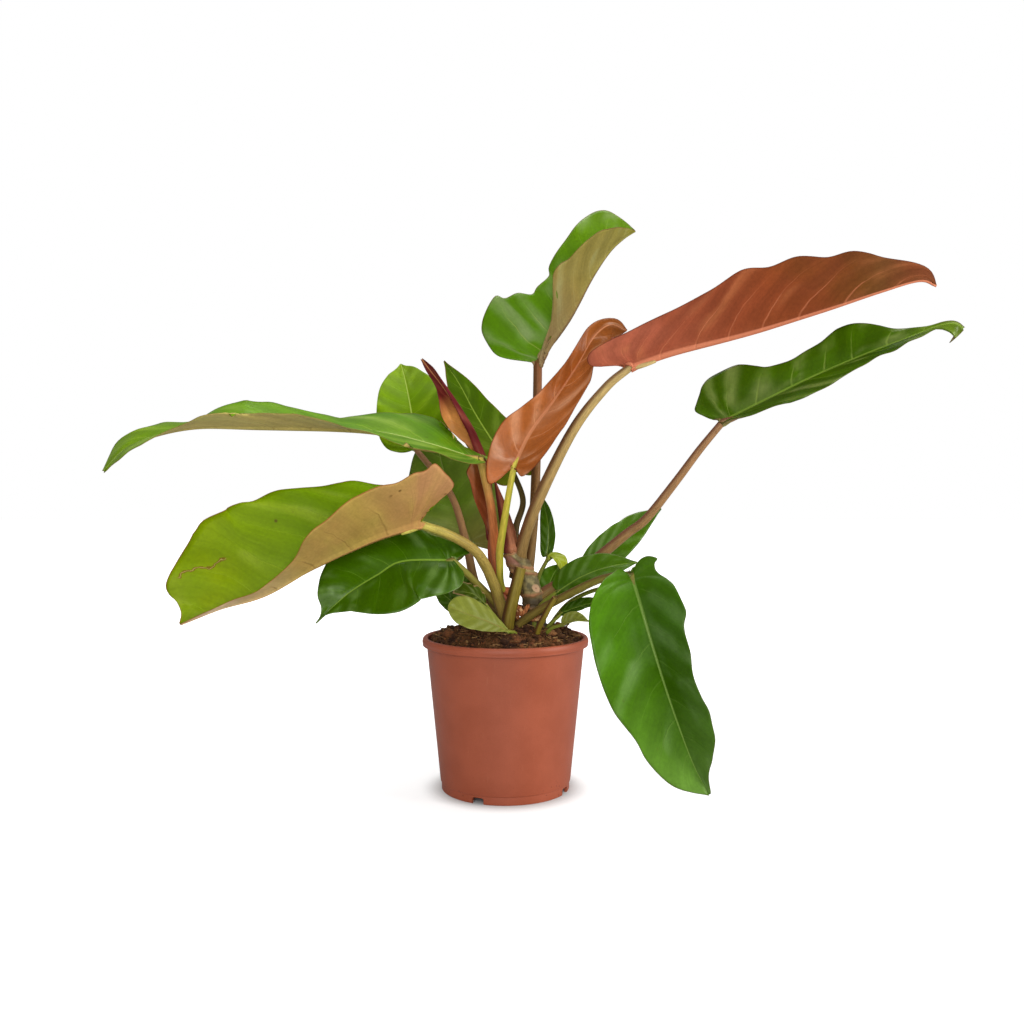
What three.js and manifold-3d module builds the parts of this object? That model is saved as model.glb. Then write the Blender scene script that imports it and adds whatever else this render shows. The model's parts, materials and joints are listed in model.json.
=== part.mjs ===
// A potted philodendron: a young plant with pointed glossy leaves on long petioles, in a plastic nursery pot.
// Millimetres, +Z up, with +X on the side of the large coral leaf and +Y at the back of the plant.
// The pieces are laid out from the middle of the pot's foot. The finished plant is then moved sideways, so that
// the origin lies under the middle of its whole spread.
import * as THREE from 'three';
import { mergeVertices } from 'three/addons/utils/BufferGeometryUtils.js';
import Module from 'manifold-3d';

const wasm = await Module();
wasm.setup();

// Driving dimensions.
const CLEARANCE = 0.3;
const SMOOTHING = 0.04;

// Rows of a blade's grid fan out over the first `fan` of the midrib and sweep forwards by `sweep`, as its side veins
// do, and `bend` curves them. The midrib's height below the blade is a multiple of the petiole's radius.
const BLADE = { thickness: 0.9, ribHeight: 1.3, fan: 0.15, sweep: 0.065, bend: 1.4 };

const POT = {
  height: 128,
  rimRadius: 70,
  lipDrop: 6.8,
  lipThickness: 1.3,
  neckRadius: 66.8,
  footRadius: 54.9,
  wall: 1.5,
  bevel: 0.8,
  floorUnderside: 6,
  floorTop: 7.6,
  stepHeight: 7.4,
  ringInset: 1,
  ringWidth: 2.3,
  segments: 36,
  notches: { count: 4, firstAngle: 66, width: 10, height: 5.2, depth: 14 },
  drains: { count: 8, radius: 4, circle: 36, length: 10, segments: 12 },
};

const SOIL = {
  edgeHeight: 123.5,
  crownHeight: 138.5,
  flatness: 0.45,
  lump: 1.9,
  lumpWaves: 7,
  lumpPitch: 0.25,
  rings: 7,
  sectors: 24,
  seed: 11,
};

const STEM = {
  route: [
    [25, 0, 74], [25, -1, 110], [23, -2, 146], [20, -3, 168], [15, -4, 183], [7, -5, 193],
    [3, -5, 200],
  ],
  radius: [7.5, 9, 9, 9, 8.6, 7.6, 7],
  scarCount: 8,
  scarHeight: 0.9,
  sides: 9,
  steps: 24,
};

const ROOT_DETAIL = { sides: 5, steps: 5 };
const ROOTS = [
  { route: [[25, 0, 84], [2, -12, 74], [-26, -18, 52], [-34, -16, 22]], radius: [2.6, 1.2] },
  { route: [[25, 0, 90], [38, 14, 82], [44, 26, 58], [40, 28, 26]], radius: [2.6, 1.2] },
  { route: [[25, 0, 80], [32, -16, 66], [30, -34, 44], [22, -38, 20]], radius: [2.4, 1.2] },
  { route: [[25, 0, 82], [14, 16, 70], [-8, 30, 48], [-18, 36, 22]], radius: [2.4, 1.2] },
  { route: [[25, 0, 78], [18, 2, 58], [8, 0, 38], [4, -4, 18]], radius: [3, 1.2] },
];

// The sheath round the growing tip, and the stubs where old leaves were cut off.
const SHOOT_DETAIL = { sides: 8, steps: 7 };
const SHOOTS = [
  {
    name: 'cataphyll',
    color: 0xa04a3c,
    route: [[4, -5.5, 201], [2.5, -6, 212], [-2, -6, 232], [-6, -4, 248], [-9, -2, 260]],
    radius: [6.6, 6.2, 4.4, 2.6, 0.5],
  },
  {
    name: 'cut_stub_left',
    color: 0x6f6a33,
    route: [[4, -20, 116], [2, -23, 140], [7, -21, 164], [12.5, -18.5, 187]],
    radius: [5.2, 5.2, 4.9, 4.5],
  },
  {
    name: 'cut_stub_right',
    color: 0x7a6a40,
    route: [[24, -31, 114], [26, -34, 136], [33, -38, 152], [40, -41, 165]],
    radius: [2.6, 2.6, 2.3],
  },
];

// Half outlines of a blade, from the notch at the petiole round to the tip: [share of its length, of its half width].
const OUTLINES = {
  heart: [
    [-0.01, 0.06], [-0.05, 0.17], [-0.1, 0.42], [-0.07, 0.74], [0.03, 0.94], [0.14, 1], [0.3, 0.99],
    [0.45, 0.93], [0.6, 0.8], [0.75, 0.58], [0.87, 0.33], [0.95, 0.12], [1, 0.02],
  ],
  slim: [
    [0, 0.08], [-0.01, 0.2], [-0.02, 0.42], [0.02, 0.66], [0.1, 0.85], [0.22, 0.97], [0.38, 1],
    [0.55, 0.9], [0.7, 0.7], [0.83, 0.43], [0.93, 0.18], [1, 0.03],
  ],
};

// Rows and columns of a blade's grid, and sides and steps of its petiole.
const DETAIL = {
  large: { rows: 13, columns: [0.1, 0.5, 1], sides: 7, steps: 10 },
  rolled: { rows: 13, columns: [0.12, 0.34, 0.56, 0.78, 1], sides: 7, steps: 8 },
  small: { rows: 8, columns: [0.2, 1], sides: 6, steps: 6 },
};

// Each leaf. The petiole and the midrib are routes from the base outwards. `up` turns the blade's upper face as it
// goes from base to tip. Fold is each half's lift at the midrib and curl what it bends on to its edge, in degrees.
const LEAVES = [
  {
    name: 'top_leaf',
    size: 'large',
    color: 0x468c28,
    stalkColor: 0x5a3723,
    petiole: [[13, -3, 164], [18, 3, 178], [21, 8, 196], [25, 20, 242], [27, 30, 303], [28, 38, 361]],
    petioleRadius: [4.5, 4, 3, 2.6],
    midrib: [
      [28, 38, 361], [38, 36, 377], [56, 34, 403], [75, 36, 437], [91, 42, 460], [104, 50, 473],
      [115, 56, 481],
    ],
    up: [[-0.3, -0.9, 0.3], [-0.45, -0.8, 0.4], [-0.7, -0.55, 0.45], [-0.75, -0.5, 0.5], [-0.6, -0.5, 0.6]],
    halfWidth: 50,
    outline: {
      left: [
        [0, 0.06], [-0.03, 0.26], [-0.06, 0.48], [-0.08, 0.7], [-0.07, 0.88], [-0.02, 1.17], [0.03, 1.27],
        [0.1, 1.34], [0.18, 1.35], [0.2, 1.18], [0.28, 1.05], [0.33, 0.82], [0.4, 0.81], [0.49, 0.73],
        [0.55, 0.83], [0.7, 0.8], [0.87, 0.79], [0.94, 0.69], [0.98, 0.45], [1, 0.02],
      ],
      right: [
        [0, 0.06], [0.04, 0.1], [0.12, 0.12], [0.2, 0.16], [0.26, 0.3], [0.32, 0.46], [0.37, 0.62],
        [0.41, 0.88], [0.45, 0.94], [0.5, 0.9], [0.54, 0.82], [0.6, 0.8], [0.68, 0.74], [0.75, 0.63],
        [0.82, 0.42], [0.92, 0.2], [1, 0.02],
      ],
    },
    left: { fold: [10, 20, 35, 45, 50], curl: [0] },
    right: { fold: [95, 90, 70, 52, 55], curl: [0] },
  },
  {
    name: 'coral_leaf',
    size: 'large',
    color: 0x96783c,
    stalkColor: 0x967850,
    petiole: [[7, -5, 184], [13, -8, 200], [27, -16, 243], [55, -26, 300], [81, -33, 334], [100, -38, 350]],
    petioleRadius: [6.5, 5.4, 4.4, 3.4],
    midrib: [
      [100, -38, 350], [133, -42, 361], [192, -50, 375], [251, -62, 392], [289, -70, 404], [318, -72, 412],
      [332, -70, 408],
    ],
    up: [[0, 0.5, 0.86]],
    halfWidth: 52,
    outline: {
      left: [
        [0, 0.06], [0, 0.16], [0.01, 0.32], [0.05, 0.48], [0.12, 0.58], [0.22, 0.68], [0.32, 0.8],
        [0.42, 0.92], [0.51, 0.88], [0.6, 0.86], [0.69, 0.74], [0.77, 0.66], [0.85, 0.47], [0.93, 0.27],
        [0.98, 0.1], [1, 0.02],
      ],
      right: [
        [0, 0.06], [-0.06, 0.12], [-0.115, 0.2], [-0.125, 0.32], [-0.1, 0.43], [-0.03, 0.5], [0.06, 0.54],
        [0.18, 0.63], [0.3, 0.78], [0.42, 0.95], [0.51, 0.87], [0.6, 0.89], [0.69, 0.74], [0.77, 0.7],
        [0.85, 0.47], [0.93, 0.27], [0.98, 0.1], [1, 0.02],
      ],
    },
    left: { fold: [45], curl: [0] },
    right: { fold: [45], curl: [0] },
  },
  {
    name: 'copper_leaf',
    size: 'large',
    color: 0xc86e32,
    stalkColor: 0xbebe50,
    petiole: [
      [10, -5, 180], [3, -8, 180], [-3, -13, 187], [-4, -18, 200], [-1, -24, 225], [2.5, -29, 246],
      [7, -34, 270],
    ],
    petioleRadius: [2.6, 3.2, 2.8, 2.4],
    midrib: [
      [7, -34, 270], [20, -28, 297], [40, -16, 325], [60, 0, 355], [76, 12, 382], [90, 16, 392],
      [103, 10, 386],
    ],
    up: [[-0.2, -0.95, 0.3], [0, -0.9, 0.3], [0, -0.9, 0.4], [-0.2, -0.5, 0.8], [-0.2, 0.1, 0.95]],
    halfWidth: 28,
    outline: {
      left: [
        [0, 0.06], [-0.07, 0.2], [-0.12, 0.46], [-0.05, 0.74], [0.05, 0.88], [0.16, 0.86], [0.25, 0.66],
        [0.36, 0.52], [0.5, 0.46], [0.62, 0.4], [0.75, 0.36], [0.86, 0.3], [0.95, 0.16], [1, 0.02],
      ],
      right: [
        [0, 0.06], [-0.02, 0.2], [-0.03, 0.42], [0.02, 0.7], [0.12, 0.98], [0.25, 1.1], [0.4, 1.08],
        [0.5, 1], [0.62, 0.9], [0.72, 0.86], [0.82, 0.84], [0.91, 0.66], [0.97, 0.34], [1, 0.02],
      ],
    },
    left: { fold: [5, 15, 38, 60, 60], curl: [12, 25, 30] },
    right: { fold: [15, 20, 25, 28, 30, 20, -60, -75], curl: [30] },
  },
  {
    name: 'right_leaf',
    size: 'large',
    color: 0x3c7d23,
    stalkColor: 0x966e50,
    petiole: [
      [18, -3, 148], [31, -1, 163], [62, -6, 183], [99, -14, 214], [116, -19, 228], [138, -26, 257],
      [157, -33, 284], [174, -40, 306],
    ],
    petioleRadius: [6, 4, 3],
    midrib: [
      [174, -40, 306], [203, -46, 321], [243, -54, 341], [282, -62, 358], [313, -64, 370], [340, -62, 378],
      [352, -62, 368], [358, -62, 376],
    ],
    up: [[-0.3, -0.55, 0.78]],
    halfWidth: 43,
    outline: {
      left: [
        [0, 0.06], [-0.03, 0.17], [-0.055, 0.34], [-0.075, 0.52], [-0.055, 0.66], [-0.03, 0.8], [0, 0.96],
        [0.05, 1.05], [0.14, 1.02], [0.18, 0.94], [0.22, 0.79], [0.26, 0.64], [0.34, 0.56], [0.41, 0.6],
        [0.47, 0.65], [0.52, 0.74], [0.56, 0.78], [0.62, 0.72], [0.7, 0.49], [0.75, 0.31], [0.81, 0.15],
        [0.87, 0.06], [0.92, 0.13], [0.96, 0.12], [1, 0.03],
      ],
      right: [
        [0, 0.06], [0, 0.2], [0.04, 0.4], [0.09, 0.54], [0.16, 0.63], [0.24, 0.63], [0.31, 0.74],
        [0.38, 0.69], [0.46, 0.56], [0.54, 0.47], [0.61, 0.3], [0.7, 0.23], [0.8, 0.14], [0.87, 0.06],
        [0.92, 0.13], [0.96, 0.12], [1, 0.03],
      ],
    },
    left: { fold: [22], curl: [0] },
    right: { fold: [28, 12, 12, 12, 12], curl: [0] },
  },
  {
    name: 'far_left_leaf',
    size: 'large',
    color: 0x468c28,
    stalkColor: 0xaa9650,
    petiole: [
      [13, -3, 150], [4, -3, 153], [-3, -4, 163], [-6, -6, 176], [-7.5, -8, 190], [-9, -10, 205],
      [-10, -17, 222], [-12.5, -24, 243], [-20, -28, 276],
    ],
    petioleRadius: [4.5, 4.5, 3.8, 3.4],
    midrib: [
      [-20, -28, 276], [-65, -39, 290], [-111, -48, 299], [-189, -66, 300], [-241, -78, 299],
      [-282, -86, 286], [-303, -90, 266],
    ],
    up: [[0, -0.2, 0.98]],
    halfWidth: 40,
    outline: {
      left: [
        [0, 0.06], [-0.01, 0.2], [0, 0.36], [0.035, 0.7], [0.09, 0.87], [0.13, 0.82], [0.19, 0.89],
        [0.24, 1.05], [0.3, 1.02], [0.4, 0.9], [0.5, 0.83], [0.57, 0.75], [0.62, 0.68], [0.68, 0.92],
        [0.72, 0.93], [0.76, 0.6], [0.84, 0.55], [0.88, 0.62], [0.94, 0.4], [0.98, 0.15], [1, 0.03],
      ],
      right: [
        [0, 0.06], [-0.03, 0.2], [-0.03, 0.38], [0.02, 0.5], [0.06, 0.6], [0.1, 0.98], [0.13, 1.28],
        [0.19, 1.36], [0.24, 1.18], [0.3, 1.13], [0.35, 1.07], [0.43, 0.96], [0.5, 1.05], [0.55, 1.15],
        [0.6, 1.05], [0.7, 1.02], [0.76, 0.65], [0.82, 0.8], [0.86, 0.5], [0.93, 0.6], [0.97, 0.3],
        [1, 0.03],
      ],
    },
    left: { fold: [-4, -2, 2, 10, 27, 27, 18, 0, -4], curl: [0] },
    right: { fold: [10, 19, 14, 4, 16, 25, 6, 14, 5], curl: [0] },
  },
  {
    name: 'left_leaf',
    size: 'large',
    color: 0x96a03c,
    stalkColor: 0xb4b464,
    petiole: [
      [10, -8, 121], [5, -9, 130], [-2, -13, 150], [-9, -20, 173], [-22, -34, 200], [-44, -50, 216],
      [-66, -64, 225],
    ],
    petioleRadius: [6, 4.5, 3.4],
    midrib: [
      [-66, -64, 225], [-98, -76, 215], [-141, -90, 195], [-178, -102, 174], [-209, -112, 165],
      [-236, -120, 154],
    ],
    up: [[0, -0.3, 0.95]],
    halfWidth: 66,
    outline: {
      left: [
        [0, 0.06], [-0.03, 0.18], [-0.055, 0.27], [-0.1, 0.38], [-0.14, 0.51], [-0.13, 0.64], [-0.1, 0.8],
        [-0.06, 0.98], [-0.02, 0.92], [0.04, 0.95], [0.1, 0.86], [0.16, 0.9], [0.26, 0.88], [0.36, 0.8],
        [0.42, 0.79], [0.46, 0.71], [0.5, 0.52], [0.54, 0.42], [0.63, 0.3], [0.77, 0.2], [0.87, 0.1],
        [1, 0.02],
      ],
      right: [
        [0, 0.06], [-0.04, 0.2], [-0.06, 0.38], [0.02, 0.5], [0.11, 0.6], [0.18, 0.74], [0.23, 0.78],
        [0.29, 0.82], [0.37, 0.91], [0.45, 1], [0.52, 1.01], [0.57, 1.07], [0.65, 1.09], [0.8, 1.04],
        [0.84, 0.93], [0.87, 0.82], [0.93, 0.65], [0.97, 0.55], [0.995, 0.46], [0.995, 0.36], [0.98, 0.26],
        [0.98, 0.12], [1, 0.02],
      ],
    },
    left: { fold: [60, 60, 60, 56, 50, 44, 42, 42, 42], curl: [0] },
    right: { fold: [58], curl: [0] },
  },
  {
    name: 'dark_left_leaf',
    size: 'large',
    color: 0x235523,
    stalkColor: 0x5a6432,
    petiole: [
      [12, -1, 121], [5, -1, 134], [-3, -5, 150], [-14, -15, 164], [-28, -27, 180], [-42, -40, 195],
    ],
    petioleRadius: [4, 2.6],
    midrib: [[-42, -40, 195], [-81, -52, 195], [-100, -60, 185], [-122, -68, 171], [-146, -74, 149]],
    up: [[0.1, -0.75, 0.7]],
    halfWidth: 44,
    outline: {
      left: [
        [0, 0.06], [-0.02, 0.18], [-0.04, 0.4], [-0.01, 0.68], [0.08, 0.88], [0.2, 0.98], [0.34, 1.02],
        [0.49, 1.03], [0.58, 0.95], [0.67, 0.78], [0.76, 0.5], [0.8, 0.33], [0.87, 0.13], [0.94, 0.04],
        [1, 0.01],
      ],
      right: [
        [-0.01, 0.06], [-0.06, 0.17], [-0.13, 0.4], [-0.11, 0.7], [0, 0.93], [0.14, 1], [0.32, 1],
        [0.5, 0.93], [0.66, 0.8], [0.775, 0.61], [0.83, 0.48], [0.88, 0.33], [0.91, 0.15], [0.95, 0.05],
        [1, 0.01],
      ],
    },
    left: { fold: [14], curl: [-8] },
    right: { fold: [14], curl: [-8] },
  },
  {
    name: 'bright_back_leaf',
    size: 'large',
    color: 0x6eaa3c,
    stalkColor: 0x6e503c,
    petiole: [
      [14, 4, 121], [7, 6, 134], [-8, 7, 150], [-25, 14, 168], [-35, 28, 208], [-49, 40, 248],
      [-80, 52, 287],
    ],
    petioleRadius: [5, 3.5, 2.6],
    midrib: [[-80, 52, 287], [-86, 68, 323], [-94, 92, 354], [-100, 112, 370]],
    up: [[0, -0.85, 0.5]],
    halfWidth: 32,
    outline: [
      [0, 0.08], [-0.02, 0.26], [-0.02, 0.5], [0.02, 0.78], [0.1, 0.95], [0.2, 1], [0.34, 0.99],
      [0.48, 0.92], [0.62, 0.8], [0.76, 0.58], [0.88, 0.33], [0.95, 0.12], [1, 0.02],
    ],
    left: { fold: [10], curl: [0] },
    right: { fold: [10], curl: [0] },
  },
  {
    name: 'centre_back_leaf',
    size: 'large',
    color: 0x3c7d28,
    stalkColor: 0x3c3223,
    petiole: [[7, -2, 178], [8, 6, 194], [9, 16, 219], [15, 26, 242], [6, 34, 268]],
    petioleRadius: [3.5, 2.2],
    midrib: [[6, 34, 268], [-13, 44, 296], [-28, 54, 320], [-42, 62, 346], [-56, 66, 367]],
    up: [[0.3, -0.85, 0.4]],
    halfWidth: 28,
    outline: {
      left: OUTLINES.heart,
      right: [
        [-0.01, 0.06], [-0.05, 0.17], [-0.1, 0.42], [-0.07, 0.72], [0.03, 0.9], [0.14, 0.94], [0.3, 0.86],
        [0.45, 0.74], [0.6, 0.58], [0.75, 0.4], [0.87, 0.22], [0.95, 0.08], [1, 0.02],
      ],
    },
    left: { fold: [10], curl: [0] },
    right: { fold: [15], curl: [0] },
  },
  {
    name: 'dark_back_leaf',
    size: 'large',
    color: 0x2d5f32,
    stalkColor: 0x3c4623,
    petiole: [[17, 7, 121], [10, 11, 138], [0, 14, 156], [-12, 22, 173], [-23, 34, 190], [-30, 42, 202]],
    petioleRadius: [4, 2.6],
    midrib: [[-30, 42, 202], [-46, 64, 238], [-60, 84, 278], [-66, 94, 316]],
    up: [[0.1, -0.85, 0.5], [0, -0.9, 0.4], [-0.1, -0.95, 0.3]],
    halfWidth: 43,
    outline: OUTLINES.heart,
    left: { fold: [18, 10, 6], curl: [-24, -12] },
    right: { fold: [16, 12, 8], curl: [-20, -30] },
  },
  {
    name: 'new_red_leaf',
    size: 'rolled',
    color: 0x963c28,
    stalkColor: 0x823228,
    petiole: [[9, -3, 176], [1, 1, 188], [-6, 2, 198], [-11, 0, 210]],
    petioleRadius: [3.6, 3],
    midrib: [[-11, 0, 210], [-15, 1, 244], [-17, 0, 269], [-28, 0, 298], [-48, 2, 331], [-71, 6, 362]],
    up: [[0, -1, 0.2]],
    halfWidth: 22,
    outline: {
      left: [
        [0, 0.05], [0.03, 0.12], [0.1, 0.28], [0.2, 0.55], [0.3, 0.78], [0.36, 0.85], [0.4, 0.55],
        [0.45, 0.32], [0.5, 0.36], [0.56, 0.58], [0.63, 0.8], [0.7, 0.95], [0.75, 0.88], [0.79, 0.5],
        [0.83, 0.25], [0.91, 0.16], [1, 0.03],
      ],
      right: [
        [0, 0.08], [0.02, 0.3], [0.1, 0.5], [0.3, 0.7], [0.55, 0.62], [0.8, 0.42], [0.93, 0.2], [1, 0.03],
      ],
    },
    left: { fold: [10], curl: [50, 50, 40, 20, 120, 170] },
    right: { fold: [10], curl: [260, 340, 400] },
  },
  {
    name: 'hanging_leaf',
    size: 'large',
    color: 0x2d6428,
    stalkColor: 0x78783c,
    petiole: [
      [14, -10, 121], [8, -14, 134], [18, -20, 146], [40, -34, 161], [74, -66, 182], [96, -88, 188],
    ],
    petioleRadius: [4, 2.8],
    midrib: [
      [96, -88, 188], [101, -100, 168], [109, -106, 139], [122, -110, 97], [138, -112, 53], [151, -112, 27],
    ],
    up: [[0, -1, 0.1]],
    halfWidth: 44,
    outline: {
      left: [
        [0, 0.06], [-0.03, 0.1], [-0.04, 0.18], [-0.045, 0.3], [-0.035, 0.44], [-0.005, 0.58], [0.01, 0.5],
        [0.04, 0.48], [0.07, 0.53], [0.1, 0.64], [0.14, 0.75], [0.22, 0.83], [0.28, 0.72], [0.39, 0.68],
        [0.49, 0.62], [0.57, 0.64], [0.66, 0.68], [0.75, 0.62], [0.845, 0.4], [0.91, 0.2], [1, 0.02],
      ],
      right: [
        [0, 0.06], [-0.02, 0.14], [-0.03, 0.22], [-0.01, 0.36], [0.01, 0.5], [0.05, 0.65], [0.08, 0.77],
        [0.14, 0.95], [0.22, 1.05], [0.36, 1.1], [0.52, 1.04], [0.65, 0.84], [0.75, 0.76], [0.87, 0.55],
        [0.95, 0.25], [1, 0.02],
      ],
    },
    left: { fold: [38, 40, 45, 45, 42], curl: [0] },
    right: { fold: [20], curl: [0] },
  },
  {
    name: 'side_leaf',
    size: 'small',
    color: 0x2d5f28,
    stalkColor: 0x78783c,
    petiole: [[24, 6, 121], [22, 8, 136], [24, 8, 148], [43, 8, 163], [66, 14, 182]],
    petioleRadius: [2.6, 1.8],
    midrib: [[66, 14, 182], [92, 28, 204], [117, 42, 222], [139, 54, 234]],
    up: [[-0.1, -0.95, 0.1]],
    halfWidth: 17,
    outline: OUTLINES.slim,
    left: { fold: [48], curl: [0] },
    right: { fold: [5], curl: [0] },
  },
  {
    name: 'low_right_leaf',
    size: 'small',
    color: 0x508246,
    stalkColor: 0x78783c,
    petiole: [[25, -9, 121], [24, -10, 134], [25, -10, 148], [32, -11, 158], [43, -16, 167]],
    petioleRadius: [2.6, 1.8],
    midrib: [[43, -16, 167], [62, -24, 180], [84, -30, 189], [107, -34, 193]],
    up: [[-0.1, -0.8, 0.6]],
    halfWidth: 16,
    outline: OUTLINES.slim,
    left: { fold: [15], curl: [0] },
    right: { fold: [15], curl: [0] },
  },
  {
    name: 'slim_leaf',
    size: 'small',
    color: 0x3c7828,
    stalkColor: 0x78783c,
    petiole: [[19, 1, 150], [23, 9, 166], [30, 18, 180], [38, 32, 193]],
    petioleRadius: [2.4, 1.6],
    midrib: [[36, 32, 193], [38, 36, 211], [36, 42, 230], [32, 50, 246]],
    up: [[-0.5, -0.8, 0.1]],
    halfWidth: 8,
    outline: OUTLINES.slim,
    left: { fold: [15], curl: [0] },
    right: { fold: [15], curl: [0] },
  },
  {
    name: 'yellow_leaf',
    size: 'small',
    color: 0x82a03c,
    stalkColor: 0x78783c,
    petiole: [[21, 0, 142], [24, 7, 158], [29, 12, 178], [36, 16, 191]],
    petioleRadius: [2, 1.4],
    midrib: [[36, 16, 191], [42, 14, 194], [47, 8, 189], [49, 4, 180]],
    up: [[0.2, -0.3, 0.9]],
    halfWidth: 8,
    outline: OUTLINES.slim,
    left: { fold: [15], curl: [0] },
    right: { fold: [15], curl: [0] },
  },
  {
    name: 'stem_side_leaf',
    size: 'small',
    color: 0x2d5f23,
    stalkColor: 0x78783c,
    petiole: [[24, 12, 121], [25, 12, 132], [28, 11, 146], [34, 12, 157]],
    petioleRadius: [2, 1.4],
    midrib: [[34, 12, 157], [37, 15, 168], [41, 19, 178], [47, 25, 187]],
    up: [[0, -0.8, 0.4]],
    halfWidth: 12,
    outline: OUTLINES.slim,
    left: { fold: [15], curl: [0] },
    right: { fold: [15], curl: [0] },
  },
  {
    name: 'soil_right_leaf',
    size: 'small',
    color: 0x326428,
    stalkColor: 0x78783c,
    petiole: [[31, -15, 121], [31, -16, 126], [35, -17, 138], [47, -20, 150]],
    petioleRadius: [2, 1.4],
    midrib: [[47, -20, 150], [58, -25, 155], [70, -30, 159], [82, -35, 160]],
    up: [[0, -0.6, 0.8]],
    halfWidth: 8,
    outline: OUTLINES.slim,
    left: { fold: [15], curl: [0] },
    right: { fold: [15], curl: [0] },
  },
  {
    name: 'pale_right_leaf',
    size: 'small',
    color: 0x96a582,
    stalkColor: 0x8ca05a,
    petiole: [[30, -27, 121], [30, -28, 126], [36, -33, 138], [46, -39, 143]],
    petioleRadius: [2, 1.4],
    midrib: [[46, -39, 143], [56, -44, 147], [67, -49, 147]],
    up: [[0, -0.6, 0.8]],
    halfWidth: 8,
    outline: OUTLINES.slim,
    left: { fold: [35], curl: [0] },
    right: { fold: [35], curl: [0] },
  },
  {
    name: 'thin_stalk_leaf',
    size: 'small',
    color: 0x3c7828,
    stalkColor: 0x78783c,
    petiole: [[34, -4, 121], [34, -5, 130], [43, -9, 146], [55, -18, 160], [75, -26, 170], [89, -26, 170]],
    petioleRadius: [2, 1.6],
    midrib: [[89, -26, 170], [101, -24, 164], [111, -20, 156], [120, -16, 144]],
    up: [[0, -0.6, 0.8]],
    halfWidth: 12,
    outline: OUTLINES.slim,
    left: { fold: [15], curl: [0] },
    right: { fold: [15], curl: [0] },
  },
  {
    name: 'pale_front_leaf',
    size: 'small',
    color: 0x78965a,
    stalkColor: 0x8ca05a,
    petiole: [[12, -25, 121], [12, -27, 126], [8, -34, 135], [3, -42, 138]],
    petioleRadius: [2.2, 1.6],
    midrib: [[3, -42, 138], [-12, -49, 146], [-28, -55, 153], [-45, -60, 160]],
    up: [[-0.1, -0.7, 0.7]],
    halfWidth: 15,
    outline: [
      [0, 0.06], [0.1, 0.25], [0.25, 0.55], [0.45, 0.85], [0.65, 1], [0.8, 0.95], [0.92, 0.7], [0.98, 0.35],
      [1, 0.05],
    ],
    left: { fold: [10], curl: [0] },
    right: { fold: [10], curl: [0] },
  },
  {
    name: 'ragged_leaf',
    size: 'small',
    color: 0x5a783c,
    stalkColor: 0x8ca05a,
    petiole: [[-6, -20, 121], [-6, -20, 130], [-9, -21, 146], [-16, -28, 158]],
    petioleRadius: [2, 1.4],
    midrib: [[-16, -28, 158], [-24, -34, 166], [-32, -38, 169], [-42, -42, 169]],
    up: [[0, -0.6, 0.8]],
    halfWidth: 10,
    outline: {
      left: OUTLINES.slim,
      right: [
        [0, 0.08], [0.02, 0.4], [0.08, 0.75], [0.15, 0.9], [0.22, 0.78], [0.3, 1.02], [0.38, 1.1],
        [0.45, 0.92], [0.52, 1.12], [0.6, 1], [0.68, 1.15], [0.78, 0.95], [0.86, 0.7], [0.94, 0.4],
        [1, 0.03],
      ],
    },
    left: { fold: [10], curl: [0] },
    right: { fold: [10], curl: [0] },
  },
  {
    name: 'low_left_leaf',
    size: 'small',
    color: 0x325a28,
    stalkColor: 0x8ca05a,
    petiole: [[-14, -3, 121], [-14, -3, 130], [-18, -4, 146], [-28, -8, 156]],
    petioleRadius: [2, 1.4],
    midrib: [[-28, -8, 156], [-36, -14, 167], [-41, -16, 177], [-44, -16, 187]],
    up: [[0.2, -0.8, 0.3]],
    halfWidth: 12,
    outline: OUTLINES.slim,
    left: { fold: [10], curl: [0] },
    right: { fold: [10], curl: [0] },
  },
  {
    name: 'back_left_leaf',
    size: 'small',
    color: 0x3c6432,
    stalkColor: 0x8ca05a,
    petiole: [[-18, 12, 121], [-18, 12, 128], [-24, 11, 142], [-36, 10, 149]],
    petioleRadius: [2, 1.4],
    midrib: [[-36, 10, 149], [-46, 10, 156], [-54, 12, 163], [-59, 16, 171]],
    up: [[0.2, -0.8, 0.5]],
    halfWidth: 10,
    outline: OUTLINES.slim,
    left: { fold: [10], curl: [0] },
    right: { fold: [10], curl: [0] },
  },
];

const degrees = THREE.MathUtils.degToRad;

function seededRandom(seed) {
  let state = seed;
  return () => {
    state = (state * 1664525 + 1013904223) % 4294967296;
    return state / 4294967296;
  };
}

function curveThrough(route) {
  return new THREE.CatmullRomCurve3(route.map((point) => new THREE.Vector3(...point)), false, 'catmullrom', 0.5);
}

// The value at share t of a list of evenly spaced values.
function valueAlong(list, t) {
  const place = THREE.MathUtils.clamp(t, 0, 1) * (list.length - 1);
  const index = Math.min(Math.floor(place), Math.max(list.length - 2, 0));
  const next = list[Math.min(index + 1, list.length - 1)];
  return THREE.MathUtils.lerp(list[index], next, place - index);
}

function geometryFrom(positions, triangles) {
  const geometry = new THREE.BufferGeometry();
  geometry.setAttribute('position', new THREE.Float32BufferAttribute(positions.flatMap((p) => p.toArray()), 3));
  geometry.setIndex(triangles.flat());
  return geometry;
}

function toSolid(source) {
  const bare = source.clone();
  bare.deleteAttribute('normal');
  bare.deleteAttribute('uv');
  const merged = mergeVertices(bare, 1e-4);
  const index = merged.index.array;
  const kept = [];
  for (let i = 0; i < index.length; i += 3) {
    const [a, b, c] = [index[i], index[i + 1], index[i + 2]];
    if (a !== b && b !== c && c !== a) {
      kept.push(a, b, c);
    }
  }
  return new wasm.Manifold(new wasm.Mesh({
    numProp: 3,
    vertProperties: new Float32Array(merged.attributes.position.array),
    triVerts: new Uint32Array(kept),
  }));
}

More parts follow.
